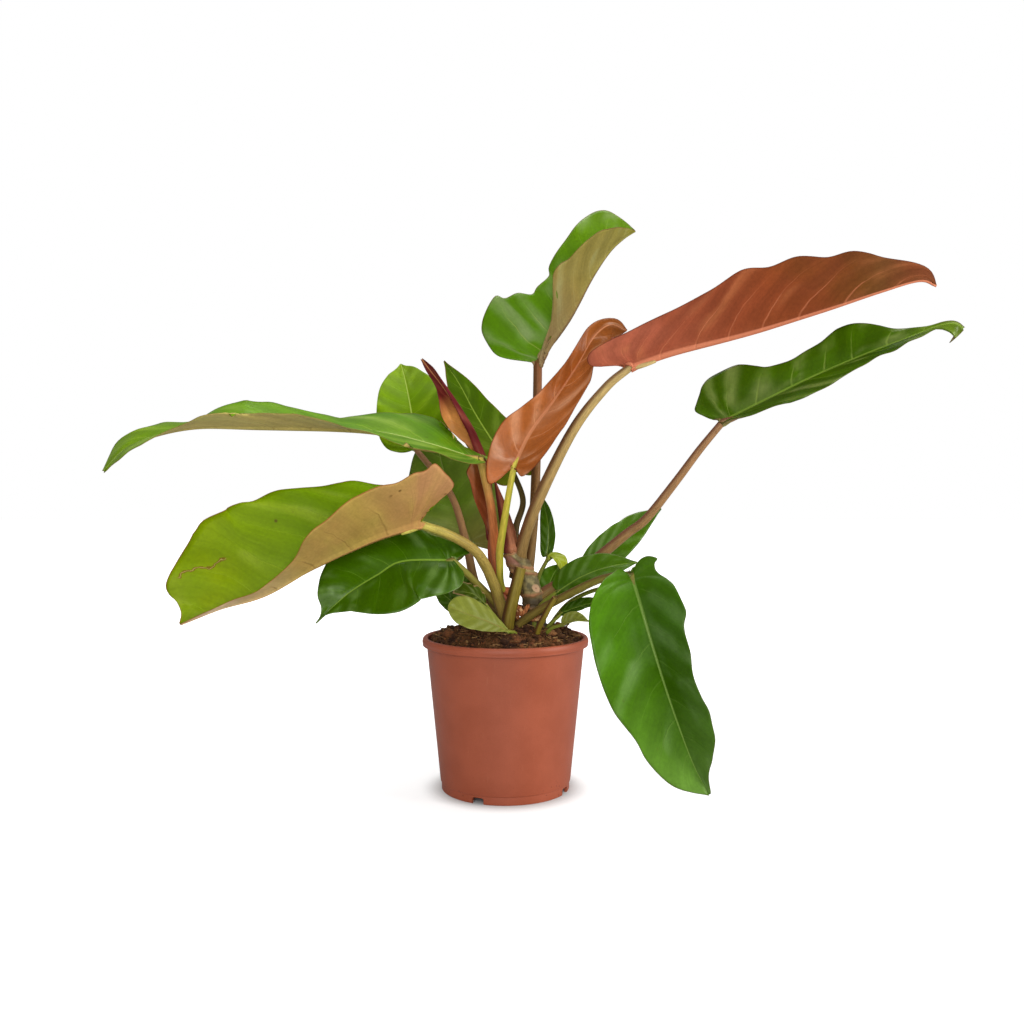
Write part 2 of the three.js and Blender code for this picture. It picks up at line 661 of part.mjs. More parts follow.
function toGeometry(solid) {
  const mesh = solid.getMesh();
  const geometry = new THREE.BufferGeometry();
  geometry.setAttribute('position', new THREE.BufferAttribute(mesh.vertProperties, mesh.numProp));
  geometry.setIndex(new THREE.BufferAttribute(mesh.triVerts, 1));
  geometry.computeVertexNormals();
  return geometry;
}

function boxesMeet(a, b) {
  return [0, 1, 2].every((axis) => a.min[axis] <= b.max[axis] && b.min[axis] <= a.max[axis]);
}

// What is left of a solid after its neighbours are cut away, without loose scraps.
function cutClear(solid, neighbours) {
  let left = solid;
  for (const neighbour of neighbours) {
    if (boxesMeet(left.boundingBox(), neighbour.boundingBox())) {
      left = left.subtract(neighbour);
    }
  }
  const bodies = left.simplify(SMOOTHING).decompose();
  return bodies.reduce((best, body) => (body.volume() > best.volume() ? body : best));
}

// A tapered tube with flat ends. `grow` makes it that much larger all round, and `swell` adds rings.
function tube({ route, radius, sides, steps, grow = 0, swell = () => 0 }) {
  const curve = curveThrough(route);
  const frames = curve.computeFrenetFrames(steps, false);
  const positions = [];
  const triangles = [];
  for (let i = 0; i <= steps; i += 1) {
    const share = i / steps;
    const end = Number(i === steps) - Number(i === 0);
    const centre = curve.getPointAt(share).addScaledVector(frames.tangents[i], end * grow);
    const size = valueAlong(radius, share) + swell(share) + grow;
    for (let k = 0; k < sides; k += 1) {
      const angle = (2 * Math.PI * k) / sides;
      positions.push(centre.clone()
        .addScaledVector(frames.normals[i], size * Math.cos(angle))
        .addScaledVector(frames.binormals[i], size * Math.sin(angle)));
    }
  }
  for (let i = 0; i < steps; i += 1) {
    for (let k = 0; k < sides; k += 1) {
      const [a, b] = [i * sides + k, i * sides + ((k + 1) % sides)];
      triangles.push([a, b, b + sides], [a, b + sides, a + sides]);
    }
  }
  const last = steps * sides;
  for (let k = 1; k < sides - 1; k += 1) {
    triangles.push([0, k + 1, k], [last, last + k, last + k + 1]);
  }
  return toSolid(geometryFrom(positions, triangles));
}

// The point of a blade's middle surface at share a of its length and b of its half width.
function bladePoint(leaf, curve, side, a, b) {
  const share = THREE.MathUtils.clamp(a, 0, 1);
  const tangent = curve.getTangentAt(share);
  const point = curve.getPointAt(share).addScaledVector(tangent, Math.min(a, 0) * curve.getLength());
  const up = new THREE.Vector3(...[0, 1, 2].map((axis) => valueAlong(leaf.up.map((v) => v[axis]), share)));
  up.addScaledVector(tangent, -up.dot(tangent)).normalize();
  const outwards = tangent.clone().cross(up).multiplyScalar(side === 'left' ? -1 : 1);
  const shape = leaf[side];
  const fold = degrees(valueAlong(shape.fold, share));
  const curl = degrees(valueAlong(shape.curl, share)) || 1e-4;
  const radius = leaf.halfWidth / curl;
  return point
    .addScaledVector(outwards, radius * (Math.sin(fold + curl * b) - Math.sin(fold)))
    .addScaledVector(up, radius * (Math.cos(fold) - Math.cos(fold + curl * b)));
}

// The blade's middle surface as rows of points from base to tip, each from the left edge to the right one.
// Rows start on the midrib and sweep forwards to the edge, as the side veins do.
function bladeGrid(leaf, { rows, columns }) {
  const curve = curveThrough(leaf.midrib);
  const length = curve.getLength();
  const edges = {};
  for (const side of ['left', 'right']) {
    const outline = leaf.outline[side] ?? leaf.outline;
    const edge = curveThrough(outline.map(([a, b]) => [a * length, b * leaf.halfWidth, 0]));
    edges[side] = Array.from({ length: rows }, (_, i) => edge.getPointAt(i / (rows - 1)))
      .map((point) => [point.x / length, point.y / leaf.halfWidth]);
  }
  const grid = [];
  for (let i = 0; i < rows; i += 1) {
    const [leftEdge, rightEdge] = [edges.left[i], edges.right[i]];
    const sweptBack = (leftEdge[0] + rightEdge[0]) / 2 - BLADE.sweep * (leftEdge[1] + rightEdge[1]);
    const start = Math.min(Math.max((BLADE.fan * i) / rows, sweptBack), 1);
    const half = (side, [edgeA, edgeB]) => columns.map((share) => bladePoint(
      leaf, curve, side, start + (edgeA - start) * share ** BLADE.bend, edgeB * share,
    ));
    const middle = bladePoint(leaf, curve, 'right', start, 0);
    grid.push([...half('left', leftEdge).reverse(), middle, ...half('right', rightEdge)]);
  }
  return grid;
}

// A closed blade: the grid's upper and lower faces, split alike, and the narrow strip round its edge.
// The midrib stands proud below, as thick as the petiole at the base and fading out at the tip.
function blade(leaf, detail) {
  const grid = bladeGrid(leaf, detail);
  const rows = grid.length;
  const width = grid[0].length;
  const middle = (width - 1) / 2;
  const ribHeight = BLADE.ribHeight * leaf.petioleRadius.at(-1);
  const positions = [];
  for (const face of [1, -1]) {
    for (let i = 0; i < rows; i += 1) {
      for (let j = 0; j < width; j += 1) {
        const along = grid[Math.min(i + 1, rows - 1)][j].clone().sub(grid[Math.max(i - 1, 0)][j]);
        const across = grid[i][Math.min(j + 1, width - 1)].clone().sub(grid[i][Math.max(j - 1, 0)]);
        const normal = across.cross(along).normalize();
        const rib = face < 0 && j === middle ? ribHeight * (1 - i / (rows - 1)) : 0;
        positions.push(grid[i][j].clone().addScaledVector(normal, face * (BLADE.thickness / 2 + rib)));
      }
    }
  }
  const under = rows * width;
  const triangles = [];
  for (let i = 0; i < rows - 1; i += 1) {
    for (let j = 0; j < width - 1; j += 1) {
      const [a, b, c, d] = [i * width + j, i * width + j + 1, (i + 1) * width + j + 1, (i + 1) * width + j];
      triangles.push([a, b, c], [a, c, d], [under + a, under + c, under + b], [under + a, under + d, under + c]);
    }
  }
  const base = Array.from({ length: width - 1 }, (_, j) => j);
  const right = Array.from({ length: rows - 1 }, (_, i) => i * width + width - 1);
  const tip = Array.from({ length: width - 1 }, (_, j) => rows * width - 1 - j);
  const left = Array.from({ length: rows - 1 }, (_, i) => (rows - 1 - i) * width);
  const border = [...base, ...right, ...tip, ...left];
  border.forEach((p, k) => {
    const q = border[(k + 1) % border.length];
    triangles.push([p, under + p, under + q], [p, under + q, q]);
  });
  return toSolid(geometryFrom(positions, triangles));
}

function stem(grow = 0) {
  const scars = (share) => STEM.scarHeight * Math.max(0, Math.cos(2 * Math.PI * STEM.scarCount * share)) ** 3;
  const trunk = tube({ ...STEM, grow, swell: scars });
  const roots = ROOTS.map((root) => tube({ ...root, ...ROOT_DETAIL, grow }));
  return roots.reduce((joined, root) => joined.add(root), trunk);
}

// The pot's half section: the recessed floor, the foot ring, the step, the wall, the folded lip and the inside.
function potProfile() {
  const { height, rimRadius, lipDrop, lipThickness, neckRadius, footRadius, wall, bevel } = POT;
  const lipUnder = height - lipThickness;
  const ringOuter = footRadius - POT.ringInset;
  return [
    [0, POT.floorUnderside],
    [ringOuter - POT.ringWidth - bevel / 2, POT.floorUnderside],
    [ringOuter - POT.ringWidth, 0],
    [ringOuter, 0],
    [ringOuter, POT.stepHeight - bevel],
    [footRadius, POT.stepHeight],
    [neckRadius, lipUnder],
    [rimRadius - lipThickness, lipUnder],
    [rimRadius - lipThickness, height - lipDrop],
    [rimRadius - bevel / 2, height - lipDrop],
    [rimRadius, height - lipDrop + bevel],
    [rimRadius, height - 2 * bevel],
    [rimRadius - 2 * bevel, height],
    [neckRadius - wall + bevel, height],
    [neckRadius - wall, height - bevel],
    [footRadius - wall, POT.floorTop],
    [0, POT.floorTop],
  ].map(([radius, z]) => new THREE.Vector2(radius, z));
}

function pot() {
  const shell = toSolid(new THREE.LatheGeometry(potProfile(), POT.segments).rotateX(Math.PI / 2));
  const cutters = [];
  const { notches, drains } = POT;
  for (let i = 0; i < notches.count; i += 1) {
    const box = new THREE.BoxGeometry(notches.depth, notches.width, 2 * notches.height);
    box.translate(POT.footRadius, 0, 0);
    box.rotateZ(degrees(notches.firstAngle + (360 * i) / notches.count));
    cutters.push(toSolid(box));
  }
  for (let i = 0; i < drains.count; i += 1) {
    const angle = (2 * Math.PI * i) / drains.count;
    const hole = new THREE.CylinderGeometry(drains.radius, drains.radius, drains.length, drains.segments);
    hole.rotateX(Math.PI / 2);
    hole.translate(drains.circle * Math.cos(angle), drains.circle * Math.sin(angle), POT.floorTop);
    cutters.push(toSolid(hole));
  }
  return cutters.reduce((body, cutter) => body.subtract(cutter), shell);
}

// The potting mix: it fills the pot and rises in a lumpy mound round the stem.
function soil() {
  const random = seededRandom(SOIL.seed);
  const ripples = Array.from({ length: SOIL.lumpWaves }, () => ({
    x: SOIL.lumpPitch * (random() - 0.5),
    y: SOIL.lumpPitch * (random() - 0.5),
    phase: 2 * Math.PI * random(),
  }));
  const slope = (POT.neckRadius - POT.footRadius) / (POT.height - POT.lipThickness - POT.stepHeight);
  const wallRadius = (z) => POT.footRadius - POT.wall - 2 * CLEARANCE + slope * (z - POT.floorTop);
  const edge = wallRadius(SOIL.edgeHeight);
  const bottom = POT.floorTop + CLEARANCE;
  const surface = (x, y) => {
    const inward = 1 - (x * x + y * y) / (edge * edge);
    const lumps = ripples.reduce((sum, wave) => sum + Math.sin(x * wave.x + y * wave.y + wave.phase), 0)
      / Math.sqrt(ripples.length);
    return SOIL.edgeHeight + (SOIL.crownHeight - SOIL.edgeHeight) * inward ** SOIL.flatness
      + SOIL.lump * lumps * Math.min(1, 4 * inward);
  };
  const positions = [new THREE.Vector3(0, 0, surface(0, 0))];
  const triangles = [];
  const { rings, sectors } = SOIL;
  for (let i = 1; i <= rings; i += 1) {
    for (let k = 0; k < sectors; k += 1) {
      const angle = (2 * Math.PI * (k + (i % 2) / 2)) / sectors;
      const [x, y] = [(edge * i * Math.cos(angle)) / rings, (edge * i * Math.sin(angle)) / rings];
      positions.push(new THREE.Vector3(x, y, i === rings ? SOIL.edgeHeight : surface(x, y)));
    }
  }
  for (let k = 0; k < sectors; k += 1) {
    const angle = (2 * Math.PI * (k + (rings % 2) / 2)) / sectors;
    const radius = wallRadius(bottom);
    positions.push(new THREE.Vector3(radius * Math.cos(angle), radius * Math.sin(angle), bottom));
  }
  positions.push(new THREE.Vector3(0, 0, bottom));
  const ringStart = (i) => 1 + (i - 1) * sectors;
  for (let k = 0; k < sectors; k += 1) {
    const next = (k + 1) % sectors;
    triangles.push([0, 1 + k, 1 + next]);
    for (let i = 1; i <= rings; i += 1) {
      const [a, b] = [ringStart(i) + k, ringStart(i) + next];
      triangles.push([a, a + sectors, b + sectors], [a, b + sectors, b]);
    }
    triangles.push([positions.length - 1, ringStart(rings + 1) + next, ringStart(rings + 1) + k]);
  }
  return toSolid(geometryFrom(positions, triangles));
}

const plant = new THREE.Group();

function addPiece(name, solid, color, roughness) {
  const mesh = new THREE.Mesh(toGeometry(solid), new THREE.MeshStandardMaterial({ color, roughness, metalness: 0 }));
  mesh.name = name;
  plant.add(mesh);
}

// Pieces that stand in or against others are cut clear of those made before them.
const grownStalks = [stem(CLEARANCE)];
addPiece('stem', stem(), 0x6d6a52, 0.7);

for (const shoot of SHOOTS) {
  const shape = { ...shoot, ...SHOOT_DETAIL };
  addPiece(shoot.name, cutClear(tube(shape), grownStalks), shoot.color, 0.5);
  grownStalks.push(tube({ ...shape, grow: CLEARANCE }));
}

for (const leaf of LEAVES) {
  const shape = { route: leaf.petiole, radius: leaf.petioleRadius, ...DETAIL[leaf.size] };
  addPiece(`${leaf.name}_petiole`, cutClear(tube(shape), grownStalks), leaf.stalkColor, 0.5);
  grownStalks.push(tube({ ...shape, grow: CLEARANCE }));
}

for (const leaf of LEAVES) {
  addPiece(`${leaf.name}_blade`, cutClear(blade(leaf, DETAIL[leaf.size]), grownStalks), leaf.color, 0.4);
}

addPiece('soil', cutClear(soil(), grownStalks), 0x3b2a20, 0.95);
addPiece('pot', pot(), 0xa8583f, 0.5);

const spread = new THREE.Box3().setFromObject(plant).getCenter(new THREE.Vector3());
plant.position.set(-spread.x, -spread.y, 0);

const pottedPlant = new THREE.Group();
pottedPlant.add(plant);

export default pottedPlant;
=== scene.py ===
# A potted philodendron with young coppery leaves, dressed over its CAD pieces.
# Leaf, stalk, soil and pot settings are in millimetres from the middle of the pot's foot, with +Z up.
import itertools
import json
import math

import bmesh
import bpy
import numpy as np
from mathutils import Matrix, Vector


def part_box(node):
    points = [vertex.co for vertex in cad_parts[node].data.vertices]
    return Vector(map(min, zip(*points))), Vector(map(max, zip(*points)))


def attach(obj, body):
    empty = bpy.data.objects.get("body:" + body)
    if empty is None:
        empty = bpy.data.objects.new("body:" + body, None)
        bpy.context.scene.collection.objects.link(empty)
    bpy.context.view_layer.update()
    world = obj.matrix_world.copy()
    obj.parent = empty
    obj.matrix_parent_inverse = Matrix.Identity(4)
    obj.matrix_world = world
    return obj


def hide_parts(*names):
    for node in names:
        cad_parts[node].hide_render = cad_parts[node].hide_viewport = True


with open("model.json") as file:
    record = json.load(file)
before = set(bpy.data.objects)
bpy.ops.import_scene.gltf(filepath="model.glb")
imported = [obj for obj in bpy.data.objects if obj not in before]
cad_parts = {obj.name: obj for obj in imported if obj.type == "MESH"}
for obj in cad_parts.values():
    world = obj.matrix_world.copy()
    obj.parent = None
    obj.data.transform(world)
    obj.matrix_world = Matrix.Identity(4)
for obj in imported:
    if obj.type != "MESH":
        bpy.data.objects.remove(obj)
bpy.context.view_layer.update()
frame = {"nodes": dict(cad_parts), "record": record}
potLow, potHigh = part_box("pot")
potMiddle = np.array([(potLow.x + potHigh.x) / 2, (potLow.y + potHigh.y) / 2, 0.0])
nodeSlots = {part["node"]: part["material_slot"] for part in frame["record"]["subparts"]}
print("frame loaded:", len(frame["nodes"]), "CAD nodes")


def toFrame(points):
    return np.asarray(points, float) / 1000 + potMiddle


def fromHex(text):  # a web colour as linear light
    shares = [int(text[i:i + 2], 16) / 255 for i in (1, 3, 5)]
    return [s / 12.92 if s < 0.04045 else ((s + 0.055) / 1.055) ** 2.4 for s in shares] + [1]


def unit(vectors):
    return vectors / np.maximum(np.linalg.norm(vectors, axis=-1, keepdims=True), 1e-12)


def squared(up, heading):  # the part of up that stands square to the heading
    return unit(up - np.sum(up * heading, -1, keepdims=True) * heading)


def routePoint(points, t):  # Catmull-Rom through the points, t from 0 to 1
    points = np.asarray(points, float)
    last = len(points) - 1
    place = np.clip(t, 0, 1) * last
    index = np.clip(np.floor(place).astype(int), 0, last - 1)
    w = (place - index)[..., None]
    here, there = points[index], points[index + 1]
    before = np.where((index > 0)[..., None], points[np.maximum(index - 1, 0)], 2 * points[0] - points[1])
    after = np.where(
        (index < last - 1)[..., None], points[np.minimum(index + 2, last)], 2 * points[-1] - points[-2]
    )
    leave, arrive = (there - before) / 2, (after - here) / 2
    square = 3 * (there - here) - 2 * leave - arrive
    cube = 2 * (here - there) + leave + arrive
    return here + leave * w + square * w**2 + cube * w**3


def makeRoute(points):
    t = np.linspace(0, 1, 401)
    steps = np.linalg.norm(np.diff(routePoint(points, t), axis=0), axis=1)
    reach = np.concatenate([[0], np.cumsum(steps)])
    return {"points": points, "t": t, "reach": reach, "length": reach[-1]}


def timeOn(route, share):  # the curve's t at a share of its length
    return np.interp(np.clip(share, 0, 1) * route["length"], route["reach"], route["t"])


def alongRoute(route, share):
    return routePoint(route["points"], timeOn(route, share))


def headingOn(route, share):
    t, step = timeOn(route, share), 1e-3
    ahead = routePoint(route["points"], np.clip(t + step, 0, 1))
    return unit(ahead - routePoint(route["points"], np.clip(t - step, 0, 1)))


def valueAlong(values, share):  # evenly spaced values, read at a share from 0 to 1
    values = np.asarray(values, float)
    if len(values) == 1:
        return np.broadcast_to(values[0], np.shape(share) + values.shape[1:]).copy()
    spots = np.linspace(0, 1, len(values))
    share = np.clip(share, 0, 1)
    if values.ndim == 1:
        return np.interp(share, spots, values)
    return np.stack([np.interp(share, spots, values[:, k]) for k in range(values.shape[1])], -1)


def softNoise(points, pitch, seed, cells=24):  # smooth lattice noise about 0, pitch in the points' own unit
    table = np.random.default_rng(seed).uniform(-1, 1, (cells, cells, cells))
    place = np.asarray(points, float) / pitch + 1000
    low = np.floor(place).astype(int)
    w = place - low
    w = w * w * (3 - 2 * w)
    total = 0
    for corner in itertools.product((0, 1), repeat=3):
        weight = np.prod(np.where(corner, w, 1 - w), axis=-1)
        total = total + weight * table[tuple(np.moveaxis((low + corner) % cells, -1, 0))]
    return total


def smoothStep(low, high, value):
    w = np.clip((value - low) / (high - low), 0, 1)
    return w * w * (3 - 2 * w)


def bell(value):
    return np.exp(-value**2)


def anglesRound(sides):
    return np.linspace(0, 2 * np.pi, sides, endpoint=False)


def addObject(name, data):
    item = bpy.data.objects.new(name, data)
    bpy.context.scene.collection.objects.link(item)
    return item


def makeMesh(name, points, faces, material, slot, replaces=(), maps=None):
    mesh = bpy.data.meshes.new(name)
    mesh.from_pydata(toFrame(points).tolist(), [], faces)
    mesh.update()
    for title, values in (maps or {}).items():
        layer = mesh.attributes.new(title, "FLOAT_VECTOR", "POINT")
        layer.data.foreach_set("vector", np.asarray(values, np.float32).ravel())
    mesh.shade_smooth()
    mesh.materials.append(material)
    piece = addObject(name, mesh)
    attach(piece, "root")
    if replaces:
        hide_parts(*replaces)
    return piece


def gridFaces(rows, columns, offset=0, closed=False, flip=False):
    faces = []
    for i in range(rows - 1):
        here, there = offset + i * columns, offset + (i + 1) * columns
        for j in range(columns if closed else columns - 1):
            k = (j + 1) % columns
            face = [here + j, here + k, there + k, there + j]
            faces.append(face[::-1] if flip else face)
    return faces


def fanFaces(sides, ring, middle, flip=False):  # triangles from a ring of points to its middle
    pairs = [[ring + j, ring + (j + 1) % sides] for j in range(sides)]
    return [(pair[::-1] if flip else pair) + [middle] for pair in pairs]


def slabFaces(rows, columns):  # a sheet of points, a second sheet under it, and the strip round both
    count = rows * columns
    border = (
        list(range(columns))
        + [i * columns + columns - 1 for i in range(1, rows)]
        + [(rows - 1) * columns + j for j in range(columns - 2, -1, -1)]
        + [i * columns for i in range(rows - 2, 0, -1)]
    )
    strip = [[p, count + p, count + q, q] for p, q in zip(border, border[1:] + border[:1])]
    return gridFaces(rows, columns) + gridFaces(rows, columns, count, flip=True) + strip


def sheetNormals(grid):
    return unit(np.cross(np.gradient(grid, axis=1), np.gradient(grid, axis=0)))


def joinParts(parts):  # several sets of points and faces as one
    faces, total = [], 0
    for points, sides in parts:
        faces += [[v + total for v in side] for side in sides]
        total += len(points)
    return np.vstack([points for points, sides in parts]), faces


def addNode(tree, kind, settings=None, inputs=None):
    node = tree.nodes.new(kind)
    for key, value in (settings or {}).items():
        setattr(node, key, value)
    for key, value in (inputs or {}).items():
        if isinstance(value, bpy.types.NodeSocket):
            tree.links.new(value, node.inputs[key])
        else:
            node.inputs[key].default_value = value
    return node


def calc(tree, operation, *values):
    inputs = dict(enumerate(values))
    return addNode(tree, "ShaderNodeMath", {"operation": operation}, inputs).outputs[0]


def times(tree, first, second):
    return calc(tree, "MULTIPLY", first, second)


def plus(tree, first, second):
    return calc(tree, "ADD", first, second)


def blendColors(tree, share, first, second, mode="MIX"):
    inputs = {0: share, 6: first, 7: second}
    return addNode(tree, "ShaderNodeMix", {"data_type": "RGBA", "blend_type": mode}, inputs).outputs[2]


def blendValues(tree, share, first, second):
    return addNode(tree, "ShaderNodeMix", {"data_type": "FLOAT"}, {0: share, 2: first, 3: second}).outputs[0]


def between(tree, value, low, high, start=0.0, end=1.0, smooth=True):
    settings = {"interpolation_type": "SMOOTHSTEP" if smooth else "LINEAR"}
    inputs = {"Value": value, "From Min": low, "From Max": high, "To Min": start, "To Max": end}
    return addNode(tree, "ShaderNodeMapRange", settings, inputs).outputs["Result"]


def layOver(tree, color, text, mask, amount=None):  # a web colour over another colour
    share = mask if amount is None else times(tree, mask, amount)
    return blendColors(tree, share, color, fromHex(text))


def shadeBy(tree, color, value, tones, low=0.3, high=0.7):  # darkest and lightest tone
    return blendColors(tree, 1.0, color, between(tree, value, low, high, *tones, False), "MULTIPLY")


def colorRamp(tree, share, colors):
    node = addNode(tree, "ShaderNodeValToRGB", inputs={"Fac": share})
    stops = node.color_ramp.elements
    for k, color in enumerate(colors):
        place = k / max(len(colors) - 1, 1)
        if k >= len(stops):
            stops.new(place)
        stops[k].position = place
        stops[k].color = fromHex(color)
    return node.outputs["Color"]


def noiseAt(tree, vector, scale, detail=3.0, roughness=0.55, distortion=0.0):
    inputs = {"Vector": vector, "Scale": scale, "Detail": detail, "Roughness": roughness}
    inputs["Distortion"] = distortion
    return addNode(tree, "ShaderNodeTexNoise", inputs=inputs).outputs["Fac"]


def cellsAt(tree, vector, scale):
    cells = addNode(tree, "ShaderNodeTexVoronoi", inputs={"Vector": vector, "Scale": scale})
    return cells.outputs["Distance"]


def stretched(tree, vector, rise):  # detail drawn out along Z
    return addNode(tree, "ShaderNodeMapping", inputs={"Vector": vector, "Scale": (1.0, 1.0, rise)}).outputs[0]


def objectPlace(tree):
    return addNode(tree, "ShaderNodeTexCoord").outputs["Object"]


def storedVector(tree, name):  # what the mesh carries under this name
    return addNode(tree, "ShaderNodeAttribute", {"attribute_name": name}).outputs["Vector"]


def splitVector(tree, vector):
    return addNode(tree, "ShaderNodeSeparateXYZ", inputs={0: vector}).outputs


def joinVector(tree, *values):
    return addNode(tree, "ShaderNodeCombineXYZ", inputs=dict(enumerate(values))).outputs[0]


def makeGroup(name, inputs, outputs):  # name and default of each input, name of each output
    tree = bpy.data.node_groups.new(name, "ShaderNodeTree")
    for title, value in inputs.items():
        socket = tree.interface.new_socket(name=title, in_out="INPUT", socket_type="NodeSocketFloat")
        socket.default_value = value
    for title in outputs:
        tree.interface.new_socket(name=title, in_out="OUTPUT", socket_type="NodeSocketFloat")
    return tree, tree.nodes.new("NodeGroupInput").outputs, tree.nodes.new("NodeGroupOutput").inputs


def placeGroup(tree, group, inputs):
    node = tree.nodes.new("ShaderNodeGroup")
    node.node_tree = group
    for key, value in inputs.items():
        node.inputs[key].default_value = value
    return node.outputs


def startMaterial(name, roughness, specular, coatRoughness=0.2):
    material = bpy.data.materials.new(name)
    material.use_nodes = True
    tree = material.node_tree
    shader = tree.nodes["Principled BSDF"]
    shader.inputs["Roughness"].default_value = roughness
    shader.inputs["Specular IOR Level"].default_value = specular
    shader.inputs["Coat Roughness"].default_value = coatRoughness
    return material, tree, shader


def setSurface(tree, shader, color, height, strength, depth, roughness=None):  # depth of the bumps in metres
    tree.links.new(color, shader.inputs["Base Color"])
    if roughness:
        tree.links.new(roughness, shader.inputs["Roughness"])
    bump = addNode(tree, "ShaderNodeBump", inputs={"Strength": strength, "Distance": depth, "Height": height})
    tree.links.new(bump.outputs["Normal"], shader.inputs["Normal"])


bladePatternSettings = {
    "wanderScale": 42,
    "veinWander": 0.24,  # in steps from vein to vein
    "veinBreakScale": 70,
    "ribTipShare": 0.22,
    "streakStretch": [11, 2.2],  # across the side veins, along them
    "sheenStretch": [0.8, 1.3],
    "bandShift": 0.14,
    "bandWander": 2.5,
    "raggedMargin": 0.8,
    "spotScale": 95,
    "spotPatchScale": 38,
    "blotchScale": 17,
    "grainScale": 420,
}


# Blades carry leafMap (share along the midrib, signed share out to the edge, side vein number) and leafReach
# (millimetres from the midrib, millimetres from the edge, 1 on the upper face).
def makeBladePattern():
    look = bladePatternSettings
    inputs = {"Vein Width": 0.035, "Rib Width": 1.4, "Margin Width": 0.5, "Spots": 0.0}
    outputs = [
        "Along", "Side", "Upper", "Rib", "Veins", "ShadedBands", "Streaks", "Sheen", "Margin", "Blotch", "Grain",
        "Spots",
    ]
    tree, given, result = makeGroup("bladePattern", inputs, outputs)
    place = objectPlace(tree)
    shares = splitVector(tree, storedVector(tree, "leafMap"))
    reach = splitVector(tree, storedVector(tree, "leafReach"))
    out = calc(tree, "ABSOLUTE", shares["Y"])
    wander = calc(tree, "SUBTRACT", noiseAt(tree, place, look["wanderScale"], 2), 0.5)
    vein = plus(tree, shares["Z"], times(tree, wander, look["veinWander"]))

    # side veins thin out towards the edge and break up here and there
    width = times(tree, given["Vein Width"], between(tree, out, 0, 0.85, 1, 0.4, False))
    line = between(tree, calc(tree, "DIVIDE", calc(tree, "PINGPONG", vein, 0.5), width), 0.2, 1.0, 1, 0)
    line = times(tree, line, between(tree, out, 0.3, 0.92, 1, 0.1))
    breaks = noiseAt(tree, place, look["veinBreakScale"], 2)
    line = times(tree, line, between(tree, breaks, 0.35, 0.6, 0.45, 1))
    taper = between(tree, shares["X"], 0, 1, 1, look["ribTipShare"], False)
    ribWidth = times(tree, given["Rib Width"], taper)

    # streaks and sheen run out beside the veins; the bands are painted light and shade, lighter on one side
    # of each strip between side veins and darker on the other
    fine, broad = (
        joinVector(tree, times(tree, vein, across), times(tree, shares["Y"], along), shares["X"])
        for across, along in (look["streakStretch"], look["sheenStretch"])
    )
    # painted light and shade of the puffed strips between the side veins
    shadedBands = calc(tree, "SINE", times(tree, plus(tree, vein, look["bandShift"]), 2 * math.pi))
    shadedBands = between(tree, plus(tree, shadedBands, times(tree, wander, look["bandWander"])), -1.2, 1.3)
    shadedBands = blendValues(tree, between(tree, out, 0.05, 0.35), 0.5, shadedBands)
    sheen = between(tree, noiseAt(tree, broad, 1.0, 2, 0.5, 0.3), 0.42, 0.66)

    edge = calc(tree, "DIVIDE", reach["Y"], given["Margin Width"])
    edge = plus(tree, edge, times(tree, wander, look["raggedMargin"]))
    spots = between(tree, cellsAt(tree, place, look["spotScale"]), 0.08, 0.2, 1, 0)
    spots = times(tree, spots, between(tree, noiseAt(tree, place, look["spotPatchScale"], 2), 0.6, 0.68))
    found = {
        "Along": shares["X"],
        # Side parts the left half from the right, for the painted light and shade of the two halves
        "Side": between(tree, shares["Y"], -0.1, 0.1),
        "Upper": between(tree, reach["Z"], 0.35, 0.65),
        "Rib": between(tree, calc(tree, "DIVIDE", reach["X"], ribWidth), 0.55, 1.15, 1, 0),
        "Veins": line,
        "ShadedBands": shadedBands,
        "Streaks": noiseAt(tree, fine, 1.0, 4, 0.6),
        "Sheen": times(tree, sheen, shadedBands),
        "Margin": between(tree, edge, 0.5, 1.3, 1, 0),
        "Blotch": between(tree, noiseAt(tree, place, look["blotchScale"], 3), 0.34, 0.66),
        "Grain": noiseAt(tree, place, look["grainScale"], 2, 0.5),
        "Spots": times(tree, spots, given["Spots"]),
    }
    for title, socket in found.items():
        tree.links.new(socket, result[title])
    return tree


stalkPatternSettings = {
    "streakScale": 1.1,
    "streakRise": 0.12,
    "tickScale": 1.5,
    "tickRise": 0.4,
    "fleckEdge": 0.72,  # the ticks' noise shows above this
    "fleckReach": 0.16,  # how far the fleck amount lowers that edge
    "grainScale": 900,
}


# Stalks carry stalkMap (share along, how far the surface faces the side that is painted darker, millimetres
# along) and stalkTurn (a circle round the stalk in millimetres, and the millimetres along).
def makeStalkPattern():
    look = stalkPatternSettings
    outputs = ["Along", "Side", "Streaks", "Flecks", "Grain"]
    tree, given, result = makeGroup("stalkPattern", {"Fleck Amount": 0.5}, outputs)
    shares = splitVector(tree, storedVector(tree, "stalkMap"))
    turn = storedVector(tree, "stalkTurn")
    streaks = noiseAt(tree, stretched(tree, turn, look["streakRise"]), look["streakScale"], 3)
    ticks = noiseAt(tree, stretched(tree, turn, look["tickRise"]), look["tickScale"], 2, 0.7)
    edge = calc(tree, "SUBTRACT", look["fleckEdge"], times(tree, given["Fleck Amount"], look["fleckReach"]))
    found = {
        "Along": shares["X"],
        "Side": plus(tree, shares["Y"], times(tree, calc(tree, "SUBTRACT", streaks, 0.5), 0.5)),
        "Streaks": between(tree, streaks, 0.36, 0.64),
        "Flecks": between(tree, ticks, edge, plus(tree, edge, 0.05)),
        "Grain": noiseAt(tree, objectPlace(tree), look["grainScale"], 3, 0.6),
    }
    for title, socket in found.items():
        tree.links.new(socket, result[title])
    return tree


bladePattern = makeBladePattern()
stalkPattern = makeStalkPattern()

